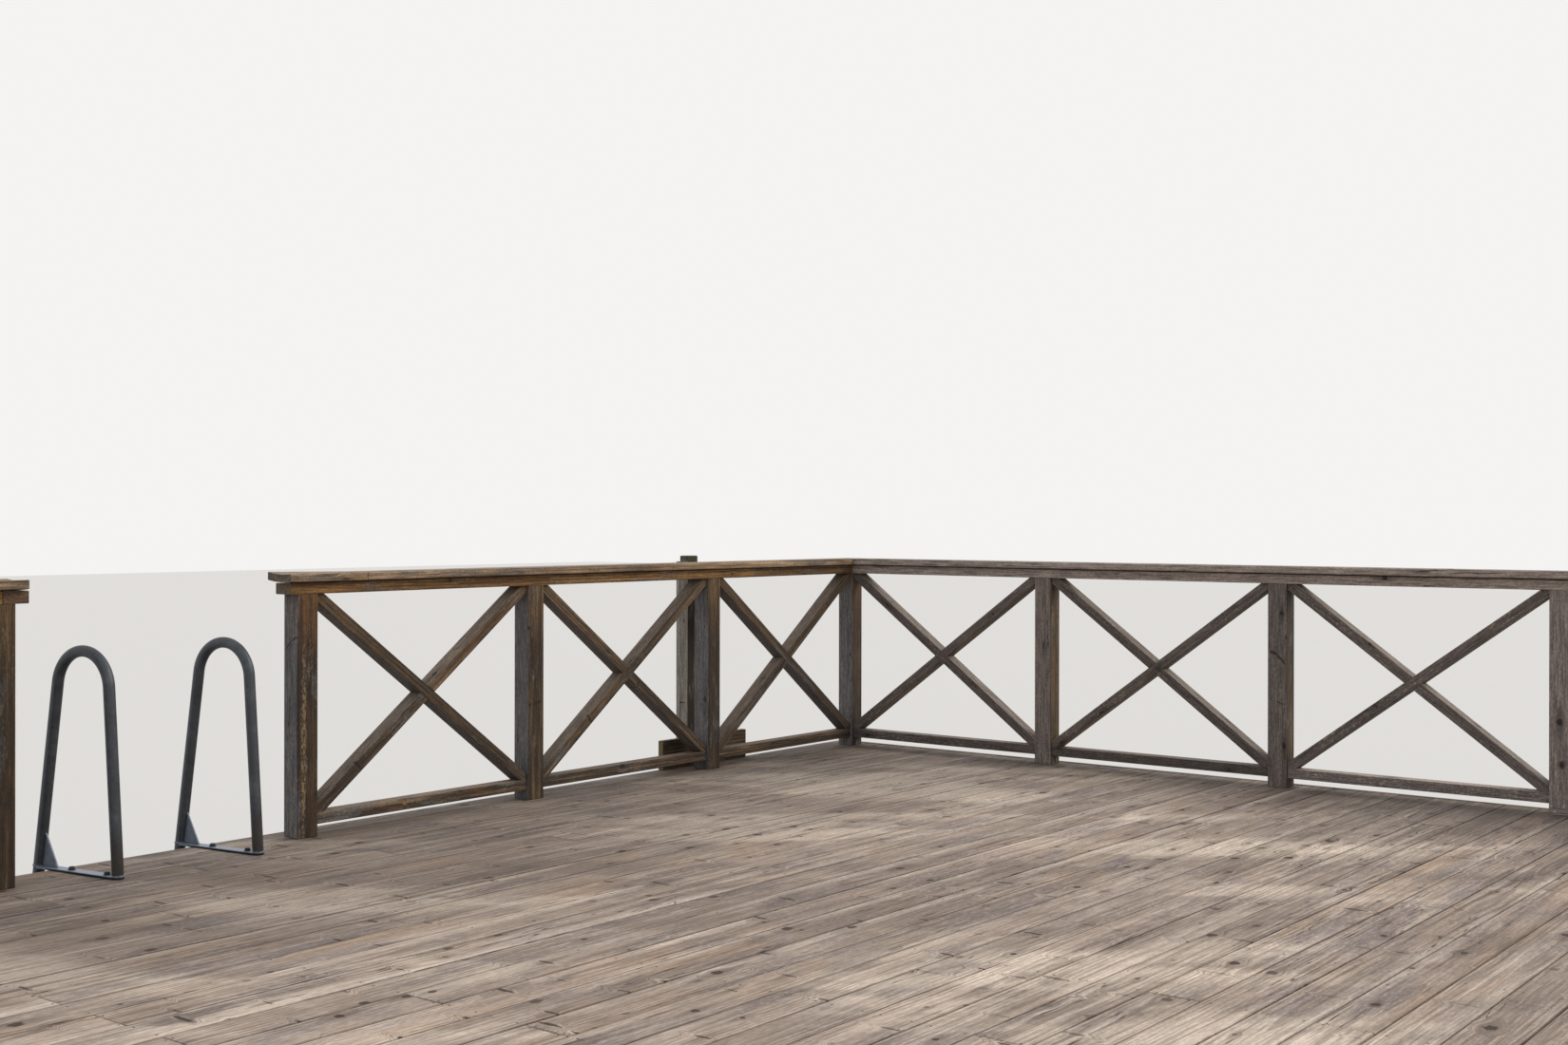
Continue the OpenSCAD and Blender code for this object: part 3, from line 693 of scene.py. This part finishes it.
def addTimber(heap, start, end, up, width, height, shape, cuts=()):
    # one length of timber from start to end; each cut is a plane (point, outward normal)
    chance = heap["random"]
    start = np.array(start, float)
    along = np.array(end, float) - start
    length = float(np.linalg.norm(along))
    along /= length
    up = np.array(up, float)
    side = np.cross(up, along)
    bow = shape.get("bow", 0) * mm
    loop = roundedSection(width - 2 * bow, height, shape["round"] * mm, shape.get("flatCuts", 0))
    bevel = shape["bevel"] * mm
    steps = max(1, round(length / (shape["step"] * mm)))
    between = [bevel + (length - 2 * bevel) * i / steps for i in range(1, steps)]
    stations = [0, bevel] + between + [length - bevel, length]
    # the pith lies off the section, so many mm to either side, and from so far below to so far
    pithAside, pithLow, pithHigh = shape["pith"]
    shift = np.array([chance.uniform(0, 90), chance.uniform(-pithAside, pithAside) * mm,
                      chance.uniform(pithLow, pithHigh) * mm])
    drawnTone = chance.random()
    tone = shape.get("tone", drawnTone)
    cup = chance.uniform(-1, 1) * shape.get("cup", 0) * mm
    sink = chance.random() * shape.get("sink", 0) * mm
    waves = [(chance.uniform(0.5, 1), chance.uniform(0, 6.3)) for _ in range(2)]
    rings, across = [], []
    half = np.array([width, height]) / 2
    for i, u in enumerate(stations):
        ring = loop.copy()
        if i in (0, len(stations) - 1):
            ring *= (half - bevel) / half
        top = ring[:, 1] > 0
        bowl = (2 * ring[:, 0] / width) ** 2
        ring[top, 1] -= (cup * (1 - bowl[top]) if cup > 0 else -cup * bowl[top]) + sink
        ring[:, 1] -= shape.get("dish", 0) * mm * (1 - bowl)
        ring[:, 1] += shape.get("lift", 0) * mm * (1 - u / length) * (0.5 + ring[:, 0] / width)
        across.append(ring[:, 0] / (width / 2 - bow))
        ring[:, 0] += bow * sum(math.sin(u * pace * 2.2 + phase) for pace, phase in waves) / 2
        rings.append(start + u * along + ring[:, :1] * side + ring[:, 1:] * up)
    points = np.concatenate(rings)
    faces = wrap(len(loop), len(stations))
    ends = np.zeros(len(points))
    ends[:len(loop)] = 1
    ends[-len(loop):] = 1
    across = np.concatenate(across)
    if cuts:
        points, faces, ends = cutByPlanes(points, faces, cuts)
        across = np.zeros(len(points))
    rest = points - start
    local = np.stack([rest @ along, rest @ side, rest @ up], 1)
    skin = unroll(local[:, 1], local[:, 2], width, height)
    skin[:, 0] += chance.uniform(0, 9)
    addShape(heap, points, faces, grain=local + shift, skin=skin, tone=np.full(len(points), tone),
             endFace=ends, across=across)
    return cup, sink


def cutByPlanes(points, faces, cuts):
    # saws the timber along each plane; a line 2 mm inside keeps the end grain off the long faces
    work = bmesh.new()
    for p in points:
        work.verts.new(p)
    work.verts.ensure_lookup_table()
    for face in faces:
        work.faces.new([work.verts[i] for i in face])
    for point, normal in cuts:
        inside = Vector(point) - Vector(normal).normalized() * 2 * mm
        for spot, last in ((inside, False), (point, True)):
            made = bmesh.ops.bisect_plane(
                work, geom=work.verts[:] + work.edges[:] + work.faces[:], plane_co=spot,
                plane_no=normal, clear_outer=last, dist=1e-7)
        rim = [e for e in made["geom_cut"] if isinstance(e, bmesh.types.BMEdge)]
        bmesh.ops.edgeloop_fill(work, edges=rim)
    work.verts.index_update()
    points = np.array([v.co for v in work.verts])
    faces = [tuple(v.index for v in face.verts) for face in work.faces]
    ends = np.zeros(len(points))
    for point, normal in cuts:
        away = (points - np.array(point)) @ np.array(Vector(normal).normalized())
        ends[np.abs(away) < 1e-5] = 1
    work.free()
    return points, faces, ends


def timberFromBox(heap, box, shape, cuts=()):
    # timber that fills a CAD solid's box, with its grain along the longest side
    low, high = box
    size = high - low
    middle = (low + high) / 2
    long = int(np.argmax(size))
    start, end = middle.copy(), middle.copy()
    start[long], end[long] = low[long], high[long]
    upAxis = 2 if long != 2 else 1
    sideAxis = 3 - long - upAxis
    up = np.eye(3)[upAxis]
    return addTimber(heap, start, end, up, size[sideAxis], size[upAxis], shape, cuts)


def addDisc(heap, centre, axis, radius, height, sides, dome=0.0):
    # a low round or hexagonal head standing on centre, along axis
    axis = Vector(axis).normalized()
    one = axis.orthogonal().normalized()
    two = axis.cross(one)
    rings = [(radius, 0), (radius, height * 0.7), (radius * 0.86, height), (radius * 0.45, height + dome)]
    points = []
    for r, h in rings:
        for i in range(sides):
            angle = 2 * math.pi * i / sides
            out = (one * math.cos(angle) + two * math.sin(angle)) * r
            points.append(Vector(centre) + axis * h + out)
    addShape(heap, points, wrap(sides, len(rings), startFace=False))


# Heads of screws and bolts, in mm
heads = {"screwHigh": 1.0, "screwSink": 0.8, "screwSides": 10,
         "boltHigh": 9, "boltDome": 0.6, "boltSides": 6, "washerSides": 24}


def addScrew(heap, spot, axis, size, dome):
    seat = Vector(spot) - Vector(axis) * heads["screwSink"] * mm
    addDisc(heap, seat, axis, size / 2 * mm, heads["screwHigh"] * mm, heads["screwSides"], dome * mm)


def addBolt(heap, spot, axis, sizes):
    # a hexagonal head on its washer
    washerHigh = sizes["washerHigh"] * mm
    addDisc(heap, spot, axis, sizes["washerSize"] / 2 * mm, washerHigh, heads["washerSides"])
    addDisc(heap, Vector(spot) + Vector(axis) * washerHigh, axis, sizes["boltSize"] / 2 * mm,
            heads["boltHigh"] * mm, heads["boltSides"], heads["boltDome"] * mm)


# The deck

deck = {
    "board": {"round": 1.5, "bevel": 1.2, "step": 200, "flatCuts": 5, "cup": 1.3, "sink": 1.4,
              "bow": 1.0, "pith": (70, -130, -40)},
    "jointGap": 2.5,      # mm between two boards end to end
    # butt joints seen in the photo: row from the water, number of the joist from the left end
    "seenJoints": {2: 4, 3: 3, 4: 5, 6: 6, 15: 3, 24: 4, 25: 5, 28: 5},
    # the other rows take these joists in turn, where a joint can't be told from the photo
    "frontRows": 17, "frontJoints": (2, 10, 2, 11), "backJoints": (2, 11, 3, 10),
    "screwIn": 24,        # mm from the board's edge to a screw
    "screwPair": 9,       # mm from a joist's middle to each screw where two boards meet
    "screwStray": 3,      # mm that a screw strays along the joist
    "screwSize": 8.5, "screwDome": 0.1,
}


def layDeck():
    joists = sorted((low[0] + high[0]) / 2 for low, high in solidsOf("joists"))
    screws = newHeap(7)
    inset, pair, stray = (deck[key] * mm for key in ("screwIn", "screwPair", "screwStray"))
    gap = deck["jointGap"] * mm / 2
    row = 0
    for node in ("deck_boards_lake", "deck_boards_middle", "deck_boards_shore"):
        heap = newHeap(node)
        for low, high in sorted(solidsOf(node), key=lambda box: -box[0][1]):
            turns = deck["frontJoints" if row < deck["frontRows"] else "backJoints"]
            meet = joists[deck["seenJoints"].get(row, turns[row % len(turns)])]
            boards = []
            for left, right in ((low[0], meet - gap), (meet + gap, high[0])):
                box = (np.array([left, low[1], low[2]]), np.array([right, high[1], high[2]]))
                boards.append((left, right, *timberFromBox(heap, box, deck["board"])))
            bowl = (1 - 2 * inset / (high[1] - low[1])) ** 2
            for x in joists:
                for y in (low[1] + inset, high[1] - inset):
                    for dx in ((-pair, pair) if abs(meet - x) < mm else (0,)):
                        cup, sink = next(b[2:] for b in boards if b[0] < x + dx < b[1])
                        drop = (cup * (1 - bowl) if cup > 0 else -cup * bowl) + sink
                        jitter = screws["random"].uniform(-stray, stray)
                        addScrew(screws, (x + dx, y + jitter, high[2] - drop), (0, 0, 1),
                                 deck["screwSize"], deck["screwDome"])
            row += 1
        makeTimber(node, heap, "deck", "_planks")
    makeMetal("deck_screws", screws, "screw")
    print("deck laid:", row, "rows")


layDeck()


# The frame under the deck

frameParts = {
    "sawn": {"round": 2, "bevel": 1, "step": 600, "bow": 0.5, "pith": (60, -110, -30)},
    "fascia": {"round": 3, "bevel": 2, "step": 400, "bow": 0.4, "pith": (60, -110, -30)},
    "pileSides": 40, "pileRings": 9,
    "pileWander": 1.6,    # mm out of round
    "pileRim": 4,         # mm eased off round the ends
}


def buildFrame():
    for node, shape, finish, slot in (
            ("joists", "sawn", "frame", "frame_timber"), ("headers", "sawn", "frame", "frame_timber"),
            ("bearers", "sawn", "frame", "frame_timber"), ("fascia_left", "fascia", "deck", "deck_timber"),
            ("fascia_right", "fascia", "deck", "deck_timber")):
        heap = newHeap(node)
        for box in solidsOf(node):
            timberFromBox(heap, box, frameParts[shape])
        makeTimber(node, heap, finish)


def addPile(heap, low, high):
    # a turned log, a touch out of round, with its pith up the middle
    chance = heap["random"]
    sides, rings = frameParts["pileSides"], frameParts["pileRings"]
    wander, rim = frameParts["pileWander"] * mm, frameParts["pileRim"] * mm
    middle = (low + high) / 2
    radius = (high[0] - low[0]) / 2 - wander
    lobes = [(chance.choice((2, 3, 5)), chance.uniform(0, 6.3)) for _ in range(2)]
    between = [low[2] + (high[2] - low[2]) * i / rings for i in range(1, rings)]
    heights = [low[2], low[2] + rim] + between + [high[2] - rim, high[2]]
    points, ends = [], []
    for level, z in enumerate(heights):
        isEnd = level in (0, len(heights) - 1)
        for i in range(sides):
            angle = 2 * math.pi * i / sides
            wave = sum(math.sin(n * angle + phase + 2 * z) for n, phase in lobes) / 2
            r = radius + wave * wander - (rim if isEnd else 0)
            points.append((middle[0] + r * math.cos(angle), middle[1] + r * math.sin(angle), z))
            ends.append(float(isEnd))
    away = np.array(points) - np.array([middle[0], middle[1], low[2]])
    turn = np.arctan2(away[:, 1], away[:, 0])
    addShape(heap, points, wrap(sides, len(heights)),
             grain=np.stack([away[:, 2] + chance.uniform(0, 90), away[:, 0], away[:, 1]], 1),
             skin=np.stack([turn * radius, -np.sin(turn), np.cos(turn)], 1),
             tone=np.full(len(points), chance.random()), endFace=np.array(ends),
             across=np.zeros(len(points)))


def drivePiles():
    for node in ("piles_lake", "piles_middle", "piles_shore"):
        heap = newHeap(node)
        for low, high in solidsOf(node):
            addPile(heap, low, high)
        makeTimber(node, heap, "pile", "_logs")


buildFrame()
drivePiles()
print("frame and piles built")


# The railing

railing = {
    "post": {"round": 2, "bevel": 1, "step": 300, "bow": 0.3, "pith": (18, -18, 18)},
    "rail": {"round": 2.5, "bevel": 1, "step": 300, "bow": 0.4, "pith": (30, -60, -20)},
    "beam": {"round": 2.5, "bevel": 1.5, "step": 300, "bow": 0.4, "pith": (50, -80, -25)},
    # the caps have dished with the years: their middle nearly touches the beam, their edges don't
    "cap": {"round": 2.5, "bevel": 1, "step": 300, "flatCuts": 7, "dish": 5, "bow": 0.3,
            "pith": (70, -120, -40)},
    "capEndLift": 6,      # mm that the short cap's free corner over the water has warped up
    "padLow": 5,          # mm that a pad stays under a dished cap
    # tone of each length in a node, left to right or from the shore: 0 dark, 1 light, above 1 bleached
    "tones": {"side_post_1": [0.4], "side_post_2": [0], "side_post_3": [1], "sole_plate": [1],
              "left_post_2": [0], "left_cap": [-0.3], "lake_bottom_rails": [0.9, -0.4, 0.3],
              "side_bottom_rails": [1.0, 2.3, -0.2, 0.3]},
    "braceWidth": 45,
    "braceGap": 0.7,      # mm of open line where the two halves meet the long brace
    "braceReach": 60,     # mm that a brace is cut from beyond the bay's corner
    # which way the long brace of a bay rises, seen from the deck
    "rises": {"left_brace": 1, "lake_brace_1": -1, "lake_brace_2": 1, "lake_brace_3": -1,
              "side_brace_1": -1, "side_brace_2": 1, "side_brace_3": 1, "side_brace_4": 1},
}


def railFinish(node):
    for word, finish in (
            ("side_cap", "sideCap"), ("side_beam", "sideCap"), ("side_post", "side"), ("sole", "side"),
            ("side", "sideRail"), ("cap", "lakeCap"), ("beam", "lakeBeam"),
            ("lake_post_1", "ladderPost"), ("post", "lake")):
        if word in node:
            return finish
    return "lakeRail"


def buildPostsAndRails():
    posts = [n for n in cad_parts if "_post" in n and not n.startswith("mooring")]
    rails = [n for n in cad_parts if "bottom_rail" in n]
    for group, shape in ((posts, "post"), (rails, "rail"), (["sole_plate", "left_beam"], "beam"),
                         (["left_cap", "lake_cap_end"], "cap"), (["cap_pads"], "rail")):
        for node in sorted(group):
            heap = newHeap(node)
            for i, (low, high) in enumerate(solidsOf(node)):
                top = high - np.array([0, 0, railing["padLow"] * mm if node == "cap_pads" else 0])
                lift = railing["capEndLift"] if node == "lake_cap_end" else 0
                own = {"tone": railing["tones"][node][i]} if node in railing["tones"] else {}
                timberFromBox(heap, (low, top), dict(railing[shape], lift=lift, **own))
            makeTimber(node, heap, railFinish(node))


def buildMitred():
    # the beam and the cap of each run meet on the diagonal over the corner post
    for run, outward in (("lake", (1, -1, 0)), ("side", (-1, 1, 0))):
        for part in ("beam", "cap"):
            node = run + "_" + part
            heap = newHeap(node)
            low, high = solidsOf(node)[0]
            centre = Vector((corner.x, corner.y, low[2]))
            timberFromBox(heap, (low, high), railing[part], [(centre, outward)])
            makeTimber(node, heap, railFinish(node))


def buildBraces():
    up = Vector((0, 0, 1))
    half, gap = railing["braceWidth"] / 2 * mm, railing["braceGap"] * mm
    for node, rises in railing["rises"].items():
        low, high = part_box(node)
        middle, size = (low + high) / 2, high - low
        # in the bay's plane, right as seen from the deck
        onLake = size.x > size.y
        right = Vector((1, 0, 0)) if onLake else Vector((0, -1, 0))
        width, depth = (size.x, size.y) if onLake else (size.y, size.x)
        face = right.cross(up)
        bayEdges = [(middle + way * reach / 2, way)
                    for way, reach in ((-right, width), (right, width), (-up, size.z), (up, size.z))]
        longWay = (right * width + up * size.z * rises).normalized()
        crossWay = (right * width - up * size.z * rises).normalized()
        reach = math.hypot(width, size.z) / 2 + railing["braceReach"] * mm
        longUp, crossUp = face.cross(longWay), face.cross(crossWay)
        heap = newHeap(node)
        addTimber(heap, middle - longWay * reach, middle + longWay * reach, longUp, depth, 2 * half,
                  railing["rail"], bayEdges)
        sawLine = longUp if longUp.dot(crossWay) > 0 else -longUp
        for direction in (-1, 1):
            stop = (middle + sawLine * direction * (half + gap), -sawLine * direction)
            addTimber(heap, middle, middle + crossWay * direction * reach, crossUp, depth, 2 * half,
                      railing["rail"], bayEdges + [stop])
        makeTimber(node, heap, railFinish(node))


buildPostsAndRails()
buildMitred()
buildBraces()
print("railing built")


# The bathing ladder

ladder = {
    "tube": 40, "archRadius": 130,                    # mm
    "skew": 9.2, "nearLean": 4.0, "rearLean": 8.4,    # degrees
    "sides": 40, "archSteps": 36, "rearSteps": 8, "nearSteps": 4,
    "barThick": 8, "barWidth": 43, "barEase": 0.8, "barEndSteps": 12,
    "gussetLong": 80, "gussetHigh": 138, "gussetThick": 6, "bead": 4, "beadRings": 6,
    "boltsFromRear": (169, 347), "boltSize": 21, "washerSize": 27.72, "washerHigh": 2.2,
    "treadIn": 12, "treadSheet": 3, "treadRibs": 5,
    "ribIn": 15, "ribWidth": 5, "ribHigh": 1.5, "ribSink": 0.2, "ribEase": 0.7,
}


def hoopPlaces():
    # each handrail's own frame, at the foot of its arch's middle: y from near leg to rear leg, z up
    radius, tube = ladder["archRadius"] * mm, ladder["tube"] / 2 * mm
    skew, rear = math.radians(ladder["skew"]), math.radians(ladder["rearLean"])
    for node in ("handrail_left", "handrail_right"):
        low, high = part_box(node)
        archZ = high.z - tube - radius
        drop = archZ + radius * math.sin(rear) - low.z
        footY = radius * math.cos(rear) + drop * math.tan(rear)
        footReach = math.hypot(tube / math.cos(rear) * math.sin(skew), tube * math.cos(skew))
        middleX = low.x + footReach + footY * math.sin(skew)
        frontReach = math.hypot(tube / math.cos(rear) * math.cos(skew), tube * math.sin(skew))
        middleY = high.y - frontReach - footY * math.cos(skew)
        place = Matrix.Translation((middleX, middleY, 0)) @ Matrix.Rotation(skew, 4, "Z")
        yield node, place, archZ, low.z


def sweep(heap, place, stations, radius, sides):
    # a round tube along points in the local plane x = 0, each with the way forward there
    sideways = Vector((1, 0, 0))
    points = []
    for spot, forward in stations:
        other = forward.cross(sideways).normalized()
        for i in range(sides):
            angle = 2 * math.pi * i / sides
            out = (sideways * math.cos(angle) + other * math.sin(angle)) * radius
            points.append(place @ (spot + out))
    addShape(heap, points, wrap(sides, len(stations), turned=True))


def addPlate(heap, place, outline, low, high, ease):
    # flat bar with eased edges, outline in the local x, y plane
    middleX, middleY = (sum(p[axis] for p in outline) / len(outline) for axis in (0, 1))
    levels = ((low, ease), (low + ease, 0), (high - ease, 0), (high, ease))
    points = []
    for z, inset in levels:
        for x, y in outline:
            points.append(place @ Vector((x + math.copysign(inset, middleX - x),
                                          y + math.copysign(inset, middleY - y), z)))
    addShape(heap, points, wrap(len(outline), len(levels)))


def addBead(heap, place, centre, radius):
    # an uneven weld bead round the tube
    sides, rings = ladder["sides"], ladder["beadRings"]
    angles = [2 * math.pi * i / sides for i in range(sides)]
    sizes = [ladder["bead"] * mm * (1 + 0.12 * math.sin(angle * 9) + 0.08 * heap["random"].uniform(-1, 1))
             for angle in angles]
    points = []
    for k in range(rings):
        turn = math.pi / 2 * k / (rings - 1)
        for angle, size in zip(angles, sizes):
            out = radius - mm + size * math.cos(turn)
            points.append(place @ (centre + Vector((out * math.cos(angle), out * math.sin(angle),
                                                    size * math.sin(turn)))))
    addShape(heap, points, wrap(sides, rings, startFace=False, endFace=False))


def buildHandrails():
    near, rear = math.radians(ladder["nearLean"]), math.radians(ladder["rearLean"])
    radius, tube = ladder["archRadius"] * mm, ladder["tube"] / 2 * mm
    thick, half = ladder["barThick"] * mm, ladder["barWidth"] / 2 * mm
    deckTop = corner.z
    bolts = newHeap("bolts")
    for node, place, archZ, footZ in hoopPlaces():
        def onArch(angle):
            return Vector((0, radius * math.cos(angle), archZ + radius * math.sin(angle)))

        # up the rear leg, over the arch and down the near leg
        rearStart, nearStart = onArch(rear), onArch(math.pi - near)
        rearDown = Vector((0, math.sin(rear), -math.cos(rear)))
        nearDown = Vector((0, -math.sin(near), -math.cos(near)))
        rearLength = (rearStart.z - footZ) / math.cos(rear) - tube * math.tan(rear)
        rearFoot = rearStart + rearDown * rearLength
        nearFoot = nearStart + nearDown * ((nearStart.z - deckTop - thick / 2) / math.cos(near))
        stations = [(rearFoot.lerp(rearStart, i / ladder["rearSteps"]), -rearDown)
                    for i in range(ladder["rearSteps"] + 1)]
        for i in range(1, ladder["archSteps"]):
            angle = rear + (math.pi - rear - near) * i / ladder["archSteps"]
            stations.append((onArch(angle), Vector((0, -math.sin(angle), math.cos(angle)))))
        stations += [(nearStart.lerp(nearFoot, i / ladder["nearSteps"]), nearDown)
                     for i in range(ladder["nearSteps"] + 1)]
        heap = newHeap(node)
        sweep(heap, place, stations, tube, ladder["sides"])
        makeMetal(node + "_tube", heap, "tube", [node], smooth=True)

        # the flat bar between the legs, round at its near end, with its gusset, beads and bolts
        bar = newHeap(node + "bar")
        seat = rearStart.y + (rearStart.z - deckTop) * math.tan(rear)
        turns = [math.pi * (1 + i / ladder["barEndSteps"]) for i in range(ladder["barEndSteps"] + 1)]
        outline = [(half * math.cos(turn), nearFoot.y + half * math.sin(turn)) for turn in turns]
        outline += [(half, seat - tube / 2), (-half, seat - tube / 2)]
        addPlate(bar, place, outline, deckTop, deckTop + thick, ladder["barEase"] * mm)
        high = deckTop + ladder["gussetHigh"] * mm
        tip = rearStart.y + (rearStart.z - high) * math.tan(rear) - tube / 2
        corners = [(seat - tube - ladder["gussetLong"] * mm, deckTop + thick),
                   (seat - tube / 2, deckTop + thick), (tip, high)]
        gusset = [place @ Vector((side * ladder["gussetThick"] / 2 * mm, y, z))
                  for side in (-1, 1) for y, z in corners]
        addShape(bar, gusset, wrap(3, 2))
        for y in (nearFoot.y, seat - thick * math.tan(rear)):
            addBead(bar, place, Vector((0, y, deckTop + thick)), tube)
        barNode = node.replace("handrail", "foot_bar")
        makeMetal(barNode + "_plate", bar, "plate", [barNode])
        for away in ladder["boltsFromRear"]:
            spot = place @ Vector((0, seat - away * mm, deckTop + thick))
            addBolt(bolts, spot, (0, 0, 1), ladder)
    makeMetal("ladder_bolts", bolts, "bolt")


def buildSteps():
    # folded sheet treads with raised ribs, between the two outer legs
    heap = newHeap("steps")
    sheet, inset, rib, ribIn, ribHalf, ribSink, ribEase = (
        size * mm for size in (ladder["treadSheet"], ladder["treadIn"], ladder["ribHigh"], ladder["ribIn"],
                               ladder["ribWidth"] / 2, ladder["ribSink"], ladder["ribEase"]))
    for low, high in solidsOf("ladder_steps"):
        y0, y1, z0, z1 = low[1], high[1], low[2], high[2] - rib
        profile = [(y0, z0), (y0 + sheet, z0), (y0 + sheet, z1 - sheet), (y1 - sheet, z1 - sheet),
                   (y1 - sheet, z0), (y1, z0), (y1, z1 - sheet), (y1 - sheet, z1), (y0 + sheet, z1),
                   (y0, z1 - sheet)]
        left, right = low[0] + inset, high[0] - inset
        addShape(heap, [(x, y, z) for x in (left, right) for y, z in profile],
                 wrap(len(profile), 2, turned=True))
        for k in range(ladder["treadRibs"]):
            y = y0 + (y1 - y0) * (k + 0.5) / ladder["treadRibs"]
            outline = [(left + ribIn, y - ribHalf), (right - ribIn, y - ribHalf),
                       (right - ribIn, y + ribHalf), (left + ribIn, y + ribHalf)]
            addPlate(heap, Matrix.Identity(4), outline, z1 - ribSink, z1 + rib, ribEase)
    makeMetal("ladder_treads", heap, "tube", ["ladder_steps"])


buildHandrails()
buildSteps()
print("ladder built")


# The mooring post

mooring = {
    "post": {"round": 3, "bevel": 3, "step": 300, "bow": 0.6, "pith": (20, -25, 25)},
    "board": {"round": 2.5, "bevel": 2, "step": 300, "bow": 0.6, "pith": (40, -70, -25)},
    # the plank on edge, in mm left of the corner post
    "plankFrom": 1400, "plankTo": 761, "plankThick": 32, "plankHigh": 142,
    "boltSize": 20, "washerSize": 40, "washerHigh": 2,
    "bolts": ((-12, 60), (12, 105)),    # mm right of the post's middle, and above the plank's foot
}


def buildMooring():
    low, high = solidsOf("mooring_plank")[0]
    left, right, thick, tall = (
        mooring[key] * mm for key in ("plankFrom", "plankTo", "plankThick", "plankHigh"))
    plank = (np.array([corner.x - left, high[1] - thick, low[2]]),
             np.array([corner.x - right, high[1], low[2] + tall]))
    for node, box, shape, finish in (
            ("mooring_post", solidsOf("mooring_post")[0], "post", "mooring"),
            ("mooring_backing", solidsOf("mooring_backing")[0], "board", "mooring"),
            ("mooring_plank", plank, "board", "plank")):
        heap = newHeap(node)
        timberFromBox(heap, box, mooring[shape])
        makeTimber(node, heap, finish)
    heap = newHeap("mooringBolts")
    postLow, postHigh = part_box("mooring_post")
    for aside, height in mooring["bolts"]:
        spot = ((postLow.x + postHigh.x) / 2 + aside * mm, plank[0][1], plank[0][2] + height * mm)
        addBolt(heap, spot, (0, -1, 0), mooring)
    makeMetal("mooring_bolts", heap, "bolt")


buildMooring()
print("mooring post built")


# Screws in the caps, the sole plate and the fascia

fixings = {
    "size": 8, "dome": 0.2,
    "capIn": 34, "capHalf": 72.5, "capAlong": 8,      # mm from the cap's edge, its middle and the pad's
    "soleIn": 22, "soleAlong": (350, -350, -700),     # mm from the sole plate's sides and from its ends
    "newAlong": 25, "newUp": 14, "newSink": -0.3,     # mm, the bright one in its side
    "fasciaEvery": 600, "fasciaFrom": 100, "fasciaTop": 60, "fasciaFoot": 50, "fasciaSink": 0.5,
}


def driveScrews():
    heap = newHeap("screws")
    size, dome = fixings["size"], fixings["dome"]
    caps = {n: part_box(n) for n in ("left_cap", "lake_cap_end", "lake_cap", "side_cap")}
    inset, half, along = (fixings[key] * mm for key in ("capIn", "capHalf", "capAlong"))
    for low, high in solidsOf("cap_pads"):
        x, y = (low[0] + high[0]) / 2, (low[1] + high[1]) / 2
        onSide = abs(x - corner.x) < mm and abs(y - corner.y) > mm
        carried = [n for n, b in caps.items()
                   if b[0].x <= x + along <= b[1].x and b[0].y <= y <= b[1].y]
        capLow, capHigh = caps[carried[0] if carried else "lake_cap"]
        for offset in (inset - half, half - inset):
            top = capHigh.z - railing["cap"]["dish"] * mm * (1 - (offset / half) ** 2)
            if carried == ["lake_cap_end"]:
                share = 1 - (x + along - capLow.x) / (capHigh.x - capLow.x)
                top += railing["capEndLift"] * mm * share * (0.5 + offset / half / 2)
            spot = (x + offset, y, top) if onSide else (x + along, y + offset, top)
            addScrew(heap, spot, (0, 0, 1), size, dome)
    low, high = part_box("sole_plate")
    for away in fixings["soleAlong"]:
        y = (low.y if away > 0 else high.y) + away * mm
        for x in (high.x - fixings["soleIn"] * mm, low.x + fixings["soleIn"] * mm):
            addScrew(heap, (x, y, high.z), (0, 0, 1), size, dome)
    # one bright new screw in the sole plate's side, by its end
    bright = newHeap("bright")
    newAlong, newUp, newSink = (fixings[key] * mm for key in ("newAlong", "newUp", "newSink"))
    addScrew(bright, (low.x + newSink, high.y - newAlong, low.z + newUp), (-1, 0, 0), size, dome)
    makeMetal("sole_screw", bright, "newScrew")
    for node, outward in (("fascia_left", -1), ("fascia_right", 1)):
        low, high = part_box(node)
        x = (high.x if outward > 0 else low.x) - fixings["fasciaSink"] * mm * outward
        for y in np.arange(low.y + fixings["fasciaFrom"] * mm, high.y, fixings["fasciaEvery"] * mm):
            for z in (high.z - fixings["fasciaTop"] * mm, low.z + fixings["fasciaFoot"] * mm):
                addScrew(heap, (x, y, z), (outward, 0, 0), size, dome)
    makeMetal("rail_screws", heap, "screw")


driveScrews()
print("screws driven")
